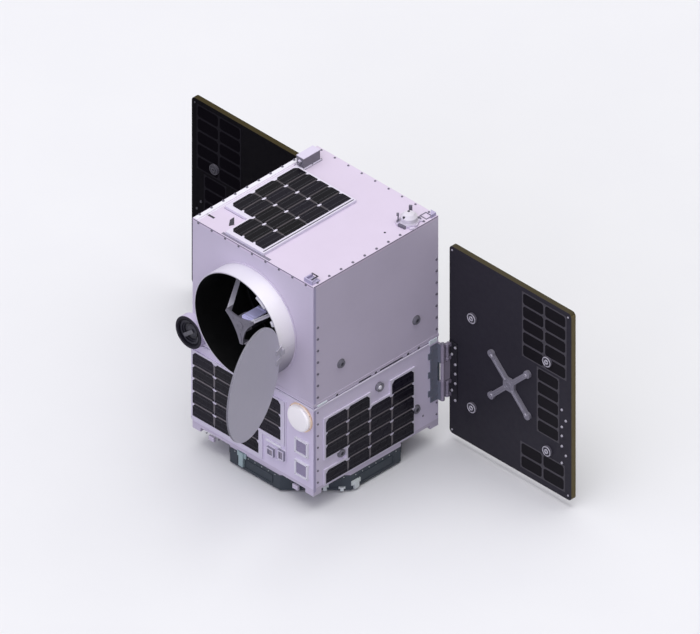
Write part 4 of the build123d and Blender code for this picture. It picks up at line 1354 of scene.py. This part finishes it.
# the top field is the last, and its sealant is painted darker: painted shade
for where, chosen, colour in (("sides", fields[:3], "sealant"), ("top", fields[3:], "top_sealant")):
    upright = [at(place, (c + 1) * COLUMN - GAP_LONG / 2, -(r * ROW + CELL_SHORT / 2), SEALANT_UP, 90)
               for place, missing in chosen for c, r in pairs(missing, 1, 0)]
    level = [at(place, c * COLUMN + CELL_LONG / 2, -((r + 1) * ROW - GAP_SHORT / 2), SEALANT_UP)
             for place, missing in chosen for c, r in pairs(missing, 0, 1)]
    tab_piece(f"sealant_upright_{where}", upright, colour, "dark_anodised", length=26, width=6, thickness=2.7)
    tab_piece(f"sealant_level_{where}", level, colour, "dark_anodised", length=68, width=4.2, thickness=2.7)
WING_STRINGS, WING_GAPS, SUNK = 10, 6, -0.14
# the end strips: how deep under the cells' face, how far they end short of the field and stand off from it
STRIP_SUNK, STRIP_SHORT, STRIP_OFF = 1.2, 4, 4.2
for side in WINGS:
    low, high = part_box(f"wing_{side}_cells")
    back = place_of((high.x, high.y, high.z), -Z, -X, Y)
    strings = [at(back, (gap + 1) * COLUMN - GAP_LONG / 2, (line + share) * ROW - GAP_SHORT / 2, SUNK)
               for line in range(WING_STRINGS) for gap in range(WING_GAPS) for share in BUSBARS]
    tab_piece(f"wing_{side}_tabs", strings, "silver_tab", "steel", f"wing_{side}")
    sheet = place_of((high.x, high.y - STRIP_SUNK * MM, high.z), -X, Z, Y)
    wide, tall = (high.x - low.x) / MM, (high.z - low.z) / MM
    strips = [(bar, sheet, (STRIP_SHORT, up), (wide - STRIP_SHORT, up), 3.2, 0.5, 0.15)
              for up in (STRIP_OFF, -tall - STRIP_OFF)]
    piece(f"wing_{side}_strips", "silver_tab", strips, f"wing_{side}")

# %% [markdown]
# Each wing turns on three knuckles. The pin ends in a cap at the top and bottom, and the plate is screwed to
# the bus, with a dark stop block beside the middle knuckle, which also fills the slot there with painted
# shade. Behind the pin two spring cartridges stand on the wing's leaf, which push the wing open. The pin's
# place comes from the joint in the record, so that the caps sit on the axis that the wing really turns
# about, and the cartridges ride on the wing and pass round the knuckles.

# %% Wing hinges
CAP = [(5.6, 0), (5.6, 1.6), (4.2, 2.8), (0.05, 3.2)]
# the spring's length and place beside the pin, and how far its feet stand off the wing
SPRING_L, SPRING_OUT, SPRING_BACK, FOOT_LIFT = 52, 2, 14.5, 2.9
# where the two springs start above the leaf's lower end, and how far their feet stand in from their ends
SPRING_STARTS, FOOT_IN = (5, 123), 5
STOP_SHADE_ALONG, STOP_SHADE_DOWN, PIN_SIDE = 462.2, 90, 7.4
# the plate's screws: two columns, the first row below the leaf's upper end, the pitch and how many rows
SCREWS_ALONG, SCREWS_DOWN, SCREW_PITCH, SCREW_ROWS = (440, 456), 15, 30, 6
# the two collars and the coil between them
SPRING = [(5, 0), (7.4, 1.5), (7.4, 8), (6.1, 9.5), (6.1, SPRING_L - 9.5), (7.4, SPRING_L - 8),
          (7.4, SPRING_L - 1.5), (5, SPRING_L)]
for side, sign, face in (("right", 1, RIGHT), ("left", -1, LEFT)):
    axis = wing_pins[side]
    leaf_low, leaf_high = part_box(f"hinge_leaf_{side}")
    piece(f"hinge_caps_{side}", "screw_steel", [
        (turned, place_of((axis.x, axis.y, leaf_high.z), X, Y, Z), CAP, 20),
        (turned, place_of((axis.x, axis.y, leaf_low.z), X, -Y, -Z), CAP, 20),
    ])
    spring_x = axis.x + sign * SPRING_OUT * MM
    post = place_of((spring_x, axis.y + SPRING_BACK * MM, leaf_low.z), X, Y, Z)
    foot = place_of((spring_x, wing_low.y - FOOT_LIFT * MM, leaf_low.z), X, Z, -Y)
    springs = []
    for low in SPRING_STARTS:
        springs.append((turned, post, [(radius, low + up) for radius, up in SPRING], 20))
        springs += [(slab, at(foot, 0, low + up), 12, 9, 6, 0.8) for up in (FOOT_IN, SPRING_L - FOOT_IN)]
    piece(f"wing_{side}_springs", "hinge_spring", springs, f"wing_{side}")
    down = (BUS_TOP - leaf_high.z) / MM
    reach = (abs(axis.x) - panel_high.x) / MM - PIN_SIDE
    # A dark stop block that also fills the slot beside the middle knuckle with painted shade.
    piece(f"hinge_stop_shade_{side}", "dark_anodised",
          [(slab, at(face, STOP_SHADE_ALONG, -down - STOP_SHADE_DOWN), 5, 58, reach, 0.8)])
    screw_piece(f"hinge_screws_{side}", [(at(face, along, -down - SCREWS_DOWN - SCREW_PITCH * row, 3), 1.0)
                                         for row in range(SCREW_ROWS) for along in SCREWS_ALONG])

# %% [markdown]
# The rear panel is out of sight in the picture. Satellites of this kind have their service hatch and the
# umbilical connectors there, so it gets bolted hatches, two connectors and a pair of lifting sockets, in
# the same paint and screws as the rest. Nothing stands out further than the wings do.

# %% Rear panel
HATCH, LOWER_HATCH = at(REAR, 225, -200), at(REAR, 225, -515)
piece("rear_hatches", "panel_paint", [
    (slab, HATCH, 236, 176, 2.4, 1.0),
    (rim_frame, at(HATCH, 0, 0, 2.3), 236, 176, 9, 0.9, 0.3),
    (slab, LOWER_HATCH, 300, 150, 2.0, 1.0),
    (slab, at(LOWER_HATCH, -75, 0, 1.9), 110, 110, 1.6, 0.8),
    (slab, at(LOWER_HATCH, 75, 0, 1.9), 110, 110, 1.6, 0.8),
])
hatch_rows = [(HATCH, (-113, up), (113, up), 7, 0.9, 3.1) for up in (82, -82)]
hatch_rows += [(HATCH, (along, 41), (along, -41), 3, 0.9, 3.1) for along in (-113, 113)]
hatch_rows += [(LOWER_HATCH, (-143, up), (143, up), 8, 0.9, 1.9) for up in (69, -69)]
screw_piece("hatch_screws", rows(hatch_rows))
lifting = [at(REAR, along, -330) for along in (60, 390)]
umbilical = [at(REAR, 60, -down) for down in (250, 180)]
sockets = [(hoop, place, 5, 13, 0, 3.4, 1, 28) for place in lifting]
sockets += [(hoop, place, 11, outer, 0, high, chamfer, 28) for place in umbilical
            for outer, high, chamfer in ((15, 9, 1), (19, 2.4, 0.8))]
piece("rear_sockets", "machined", sockets)
piece("rear_plugs", "connector_plastic",
      [(turned, place, [(11.2, 0), (11.2, 6), (10.4, 6.6), (0.05, 6.6)], 24) for place in umbilical]
      + [(turned, place, [(5.2, 0), (5.2, 1), (0.05, 1)], 16) for place in lifting])

# %% [markdown] The scene ends here.
